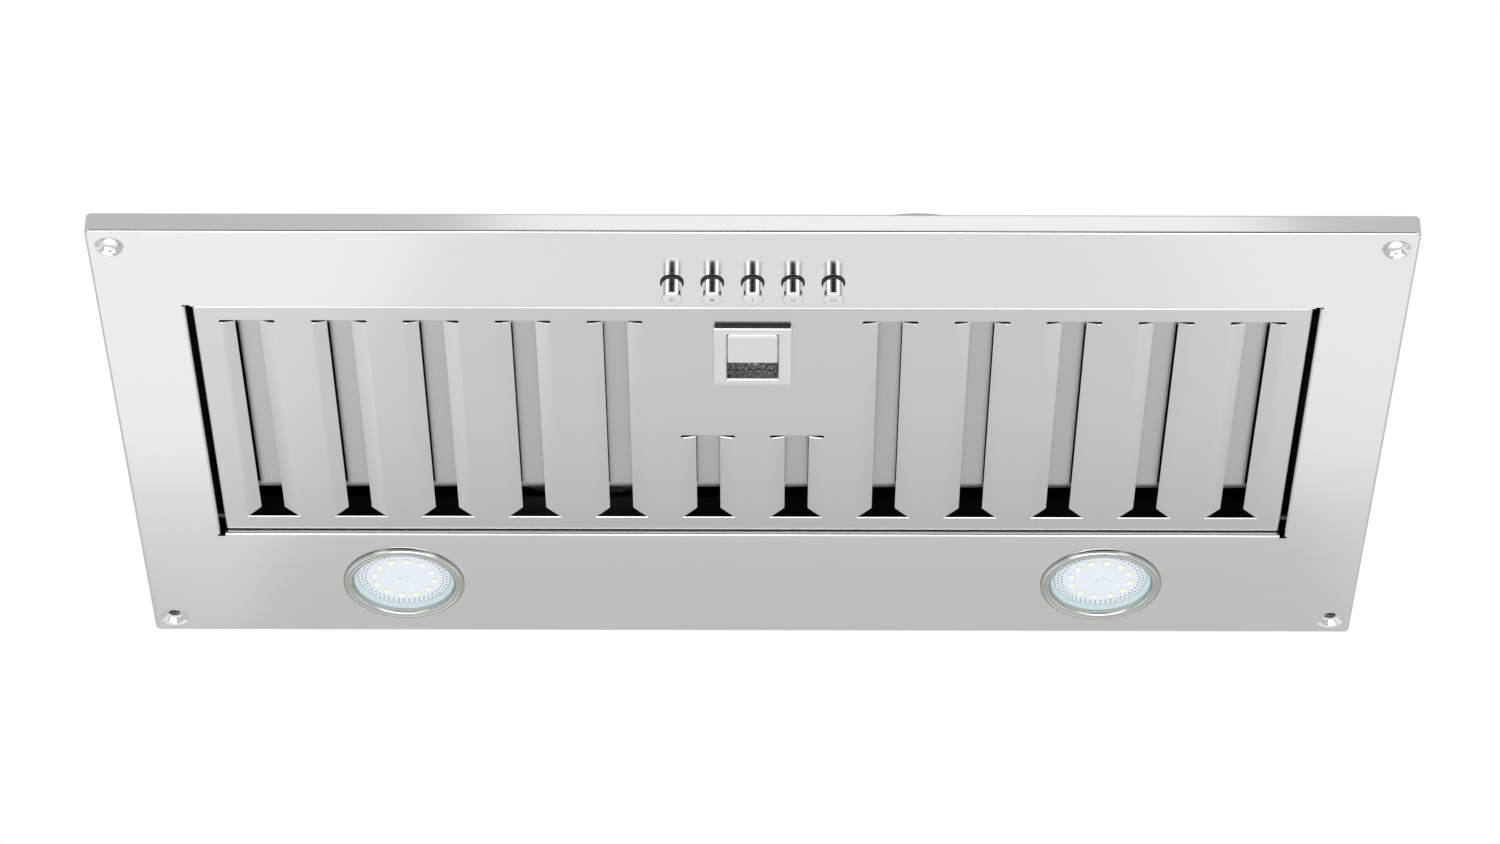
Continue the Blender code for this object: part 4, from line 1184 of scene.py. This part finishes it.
ring_low, ring_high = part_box("inlet_ring")
wheel_centre = Vector(((ring_low.x + ring_high.x) / 2, (ring_low.y + ring_high.y) / 2, 0.0))
mouth = 0.0712
under = sump_high.z - 0.0011
mouth_profile = [(0.0800, under), (0.0800, under - 0.0010), (0.0725, under - 0.0010)]
mouth_profile += [(0.0665 + 0.0060 * math.cos(a), under - 0.0010 + 0.0085 * math.sin(a))
                  for a in (0.2, 0.45, 0.7, 0.95, 1.2)]
mouth_profile += [(0.0652, ring_high.z), (0.0661, ring_high.z)]
mouth_profile += [(0.0672 + 0.0045 * math.cos(a), under + 0.0078 * math.sin(a)) for a in (1.2, 0.9, 0.6, 0.3)]
mouth_profile += [(mouth, under)]
fit(turned("inlet_mouth", mouth_profile, wheel_centre, 96, sharp=50), "inlet_ring")
print("sump lined and its inlet spun")

# %% [markdown]
# ## The blower
# The blower is a spiral of galvanised strip between two flat plates. The air leaves the wheel all round, and
# the spiral opens out toward the square chamber under the duct. The plates are cut from one outline of short
# chords, and the strip is bent round the same outline, so a fine spiral serves all three pieces.

# %% Scroll plates and wall
wall_low, wall_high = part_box("scroll_wall")
collar_low, collar_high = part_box("duct_collar")
duct_centre = Vector(((collar_low.x + collar_high.x) / 2, (collar_low.y + collar_high.y) / 2, 0.0))
SPIRAL = (0.092, 0.112)
DUCT_BORE = 0.0740
right, far = wall_high.x, wall_high.y
front = wheel_centre.y - SPIRAL[1]


def spiral(steps=108):
    """The blower in plan: a widening spiral, then the outlet chamber with rounded corners."""
    points = []
    for step in range(steps + 1):
        angle = math.radians(270) * step / steps
        radius = SPIRAL[0] + (SPIRAL[1] - SPIRAL[0]) * step / steps
        points.append((wheel_centre.x + radius * math.cos(angle), wheel_centre.y + radius * math.sin(angle)))
    points += arc_points((right - 0.012, front + 0.012), 0.012, -90, 0, 8)
    points += arc_points((right - 0.012, far - 0.012), 0.012, 0, 90, 8)
    points += [(0.014, far), (0.009, far - 0.0018), (0.005, far - 0.006)]
    return points


def plate_of(name, node, bores):
    """A flat plate cut to the spiral, with round holes."""
    low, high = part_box(node)
    bm = bmesh.new()
    edge = add_loop(bm, spiral(), low.z)
    holes = [add_loop(bm, ring((spot.x, spot.y), radius, 96), low.z) for spot, radius in bores]
    fill_between(bm, edge, *holes)
    fit(folded(name, bm, high.z - low.z), node)


plate_of("blower_base", "scroll_base", [(wheel_centre, mouth + 0.0003)])
plate_of("blower_lid", "scroll_lid", [(wheel_centre, 0.010), (duct_centre, DUCT_BORE)])
bm = bmesh.new()
loft(bm, add_loop(bm, spiral(), wall_low.z), add_loop(bm, spiral(), wall_high.z))
bmesh.ops.recalc_face_normals(bm, faces=bm.faces)
strip = piece_of("blower_wall", bm)
gauge = strip.modifiers.new("gauge", "SOLIDIFY")
gauge.thickness = 0.0010
gauge.offset = -1.0
gauge.use_even_offset = True
even_normals(strip)
fit(strip, "scroll_wall")
print(len(spiral()), "points round the blower")

# %% [markdown]
# ## The wheel
# The wheel is a squirrel cage. Its 40 blades are pressed with a forward curve, so that each one scoops the
# air, and they are staked into a hub plate above and a ring below. Its shaft comes down from the motor.

# %% Wheel
wheel_low, wheel_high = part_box("impeller")
outer = (wheel_high.x - wheel_low.x) / 2


def curved_blade(bm, angle, low, high, chord=0.0100, bow=0.0018, gauge=0.0008):
    """One blade as a thin arc swept up between the ring and the plate."""
    outline = []
    for side in (1, -1):
        for step in range(7):
            t = step / 6 if side == 1 else 1 - step / 6
            outline.append(((t - 0.5) * chord, bow * math.sin(math.pi * t) + side * gauge / 2))
    turn = Matrix.Rotation(angle, 2)
    lean = Matrix.Rotation(math.radians(35), 2)
    points = []
    for point in outline:
        spot = turn @ (lean @ Vector(point) + Vector((outer - 0.0065, 0.0)))
        points.append((spot.x + wheel_centre.x, spot.y + wheel_centre.y))
    bottom, top = add_loop(bm, points, low), add_loop(bm, points, high)
    loft(bm, bottom, top)
    fill_between(bm, bottom)
    fill_between(bm, top)


plate_z = 0.1135
hub = turned("hub_plate", [
    (0.0043, wheel_high.z), (0.0117, wheel_high.z), (0.0120, wheel_high.z - 0.0003),
    (0.0120, plate_z + 0.0019), (0.0124, plate_z + 0.0015), (0.0500, plate_z + 0.0015),
    (0.0520, plate_z + 0.0012), (outer, plate_z + 0.0012),
    (outer, plate_z), (0.0120, plate_z), (0.0120, 0.1033), (0.0117, 0.1030), (0.0043, 0.1030),
], wheel_centre, 96)
shroud = turned("shroud", [
    (outer, wheel_low.z), (outer, wheel_low.z + 0.0014), (outer - 0.0003, wheel_low.z + 0.0016),
    (outer - 0.0120, wheel_low.z + 0.0016), (outer - 0.0120, wheel_low.z),
], wheel_centre, 96)
bm = bmesh.new()
for index in range(40):
    curved_blade(bm, 2 * math.pi * index / 40, wheel_low.z + 0.0010, plate_z + 0.0004)
bmesh.ops.recalc_face_normals(bm, faces=bm.faces)
blades = piece_of("blades", bm, 60)
fit(joined("wheel", [hub, shroud, blades]), "impeller")
fit(turned("shaft", [(0.0, 0.1000), (0.0036, 0.1000), (0.0040, 0.1004), (0.0040, 0.1316), (0.0036, 0.1320),
                     (0.0, 0.1320)], wheel_centre, 48, closed=False), "motor_shaft")
print("wheel with 40 blades")

# %% [markdown]
# ## The motor
# The motor's painted shell is turned from a profile with four cooling grooves. It hangs by three ears, each
# a strap of its own since it is welded on. The rubber mounts have a waist so that they give a little.

# %% Motor and mounts
motor_low, motor_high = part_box("motor_body")
top, base, radius = motor_high.z, motor_low.z, 0.045
shell_profile = [(0.0048, base + 0.0110), (0.0048, base), (radius - 0.0006, base), (radius, base + 0.0006)]
for rib in range(4):
    z = base + 0.0030 + rib * 0.0036
    shell_profile += [(radius, z), (radius - 0.0008, z + 0.0006), (radius - 0.0008, z + 0.0016),
                      (radius, z + 0.0022)]
shell_profile += [(radius, top - 0.0080), (radius - 0.0008, top - 0.0058), (radius - 0.0022, top - 0.0045),
                  (radius - 0.0042, top - 0.0040), (0.0230, top - 0.0034), (0.0215, top - 0.0024),
                  (0.0208, top - 0.0006), (0.0198, top), (0.0, top), (0.0, base + 0.0110)]
parts = [turned("motor_shell", shell_profile, wheel_centre, 96, sharp=50)]
mount_radius = 0.056
for index in range(3):
    bm = bmesh.new()
    add_box(bm, (radius - 0.0055, -0.0080, base), (mount_radius + 0.0070, 0.0080, base + 0.0020))
    spin = Matrix.Translation(wheel_centre) @ Matrix.Rotation(math.radians(90 + 120 * index), 4, "Z")
    bm.transform(spin)
    parts.append(bevelled(piece_of(f"ear_{index}", bm), 0.0006, 2))
    spot = spin @ Vector((mount_radius, 0, 0))
    mount_low, mount_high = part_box(f"motor_mount_{index + 1}")
    h0, h1 = mount_low.z, mount_high.z
    waist = [(0.0, h0), (0.0062, h0), (0.0065, h0 + 0.0003), (0.0063, h0 + 0.0008), (0.0052, (h0 + h1) / 2),
             (0.0063, h1 - 0.0008), (0.0065, h1 - 0.0003), (0.0062, h1), (0.0, h1)]
    mount = turned(f"mount_{index + 1}", waist, (spot.x, spot.y, 0.0), 40, closed=False)
    fit(mount, f"motor_mount_{index + 1}")
fit(joined("motor", parts), "motor_body")
print("motor on three mounts")

# %% [markdown]
# ## The duct collar and its damper
# The collar is rolled sheet with a bead that stops the duct hose sliding too far. A ledge inside stops the
# two half-round flaps. They hang on one pin by alternate knuckles, fall shut by their weight and lift with
# the air.

# %% Collar, pin and flaps
pin_low, pin_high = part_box("damper_pin")
bore, gauge, foot = DUCT_BORE, 0.0010, collar_low.z
skin = bore + gauge
flange = (collar_high.x - collar_low.x) / 2
bead = collar_high.z - 0.0100
collar_profile = [(skin - 0.0001, collar_high.z), (skin, collar_high.z - 0.0002), (skin, bead + 0.0025),
                  (skin + 0.0009, bead + 0.0014), (skin + 0.0012, bead), (skin + 0.0009, bead - 0.0014),
                  (skin, bead - 0.0025), (skin, foot + 0.0020), (skin + 0.0004, foot + 0.0013),
                  (skin + 0.0011, foot + 0.0010), (flange, foot + 0.0010), (flange, foot),
                  (bore + 0.0006, foot), (bore, foot + 0.0006), (bore, 0.1215), (0.0700, 0.1215),
                  (0.0700, 0.1225), (bore, 0.1225), (bore, bead - 0.0025), (bore + 0.0009, bead - 0.0014),
                  (bore + 0.0012, bead), (bore + 0.0009, bead + 0.0014), (bore, bead + 0.0025),
                  (bore, collar_high.z - 0.0002), (bore + 0.0001, collar_high.z)]
collar = turned("collar", collar_profile, duct_centre, 128, sharp=40)
pin_z = (pin_low.z + pin_high.z) / 2
hole = turned("pin_holes", [(0.0, -0.09), (0.0023, -0.09), (0.0023, 0.09), (0.0, 0.09)],
              (duct_centre.x, duct_centre.y, pin_z), 32, closed=False,
              turn=Matrix.Rotation(math.pi / 2, 4, "X"))
carve(collar, hole)
settle(collar, 40)
fit(collar, "duct_collar")
for side in ("left", "right"):
    softened(f"flap_{side}", f"damper_flap_{side}", 0.00015)
softened("flap_pin", "damper_pin", 0.0004)
print("collar with its flaps")

# %% [markdown]
# ## Wiring and small parts
# The mains cord goes through a gland into a folded steel box, where the terminal block and the motor's
# capacitor are. From there leads run to the motor, the switch bank and the lamp supply. The moulded cases
# have broken edges, the folded ones tight ones, and every lead is one smooth tube.

# %% Boxes, brackets and leads
for name, node, width in (
        ("wiring_box", "junction_box", 0.0003), ("wiring_box_cover", "junction_box_cover", 0.0003),
        ("gland", "cable_gland", 0.0004), ("terminals", "terminal_block", 0.0006),
        ("start_capacitor", "capacitor", 0.0010), ("lamp_supply", "led_driver", 0.0004),
        ("grommet", "lead_grommet", 0.0003), ("switches", "switch_body", 0.0006),
        ("switch_bridge", "switch_bracket", 0.0003)):
    softened(name, node, width, 3)


def smooth_lead(name, node):
    """A lead's own tube, smoothed round and along."""
    bm = bmesh.new()
    bm.from_mesh(frame["nodes"][node].data)
    bmesh.ops.remove_doubles(bm, verts=bm.verts, dist=0.00001)
    made = piece_of(name, bm, 70)
    smooth = made.modifiers.new("round", "SUBSURF")
    smooth.levels = 1
    smooth.render_levels = 1
    return fit(made, node)


for node in ("motor_lead", "switch_lead", "driver_lead", "lamp_lead_left", "lamp_lead_right"):
    smooth_lead(node + "_tube", node)
print("wiring in place")

# %% [markdown]
# ## Everything else keeps its own shape
# A solid that no finer piece stands for is right as it is, and only takes its finish.

# %% Finish the remaining solids
kept = [node for node, solid in frame["nodes"].items() if not solid.hide_render]
for node in kept:
    solid = frame["nodes"][node]
    solid.data.materials.clear()
    solid.data.materials.append(finishes[slot_of[node]].material)
print(len(kept), "solids keep their own shape")

# %% [markdown]
# ## Floor, lights and surroundings
# Steel shows its surroundings, so lighting it means placing bright and dark areas where it will mirror them.
# Seen from the cook's side, the flat panel mirrors the space low behind the hood. One wide card there lights
# all of it, and a card at each end lifts its sides. Folds and cut edges face the cook, and mirror the card low
# under the hood as a bright line. The card in front brightens the rim's middle. Two cards beside the cook give
# the push buttons their white flanks, and the dark patch on the cook's own side gives them a dark core.

# %% Lights
def look_from(place, target, roll=0.0):
    turn = (Vector(place) - Vector(target)).to_track_quat("Z", "Y").to_matrix().to_4x4()
    return Matrix.Translation(place) @ turn @ Matrix.Rotation(roll, 4, "Z")


def card(name, place, target, width, height, radiance):
    """A soft light whose brightness is given as the surface looks, not as its total power."""
    light = bpy.data.lights.new(name, "AREA")
    light.shape = "RECTANGLE"
    light.size, light.size_y = width, height
    light.energy = radiance * math.pi * width * height
    made = bpy.data.objects.new(name, light)
    bpy.context.scene.collection.objects.link(made)
    made.matrix_world = look_from(place, target)
    made.visible_camera = False
    return made


behind = Vector((0.0, 0.507, -0.754))
panel_middle = Vector((0.0, -0.15, 0.0))
card("card_behind", behind, panel_middle, 2.4, 0.7, 0.28)
card("card_behind_left", behind + Vector((-0.58, 0, 0)), panel_middle, 0.85, 0.66, 0.17)
card("card_behind_right", behind + Vector((0.64, 0, 0)), panel_middle, 0.85, 0.66, 0.11)
card("card_below", (0.0, -0.45, -1.4), (0.0, -0.05, 0.0), 1.3, 1.1, 2.6)
card("card_front", (0.10, -1.16, 0.72), (0.0, -0.19, 0.0), 0.62, 0.45, 0.48)
for name, side in (("left", -1), ("right", 1)):
    card(f"card_flank_{name}", (side * 1.15, -0.93, -0.96), (0.0, -0.15, 0.0), 0.62, 0.82, 1.7)
print("seven cards")

# %% [markdown]
# ## Surroundings and floor
# A pale floor lies below the hood. The world is one even grey with a soft dark patch on the cook's side, and
# shows as white behind the hood.

# %% Surroundings and floor
FLOOR_Z = -1.75
surroundings = bpy.data.worlds.new("surroundings")
bpy.context.scene.world = surroundings
surroundings.use_nodes = True
tree = surroundings.node_tree
sky = Graph(tree)
way = sky.node("ShaderNodeTexCoord", output="Generated")
toward_cook = sky.node("ShaderNodeVectorMath", {"operation": "DOT_PRODUCT"},
                       {0: way, 1: (0.0, -0.809, -0.588)}, "Value")
patch = sky.node("ShaderNodeMapRange", {"interpolation_type": "SMOOTHSTEP"},
                 {"Value": toward_cook, "From Min": 0.89, "From Max": 0.97, "To Min": 0.0, "To Max": 1.0})
studio = patch * -0.62 + 0.63
seen = sky.node("ShaderNodeLightPath", output="Is Camera Ray")
level = seen + (1 - seen) * studio
sky.put(tree.nodes["Background"].inputs["Strength"], level)
tree.nodes["Background"].inputs["Color"].default_value = (1.0, 1.0, 1.0, 1.0)

bm = bmesh.new()
fill_between(bm, add_loop(bm, rounded((-1.3, -1.3, 1.3, 1.3), 0.4, 16), FLOOR_Z))
for face_of_floor in bm.faces:
    if face_of_floor.normal.z < 0:
        face_of_floor.normal_flip()
floor = piece_of("studio_floor", bm)
pale = moulded("studio_floor", (0.86, 0.86, 0.86), 0.7, grain=40, depth=0.0001, mottle=0.01)
floor.data.materials.append(pale.material)
bpy.context.scene.view_settings.view_transform = "Standard"
print("floor", abs(FLOOR_Z), "m below the rim's top")

# %% [markdown]
# The finished hood must fill the same box as the solids.


print("hood finished")
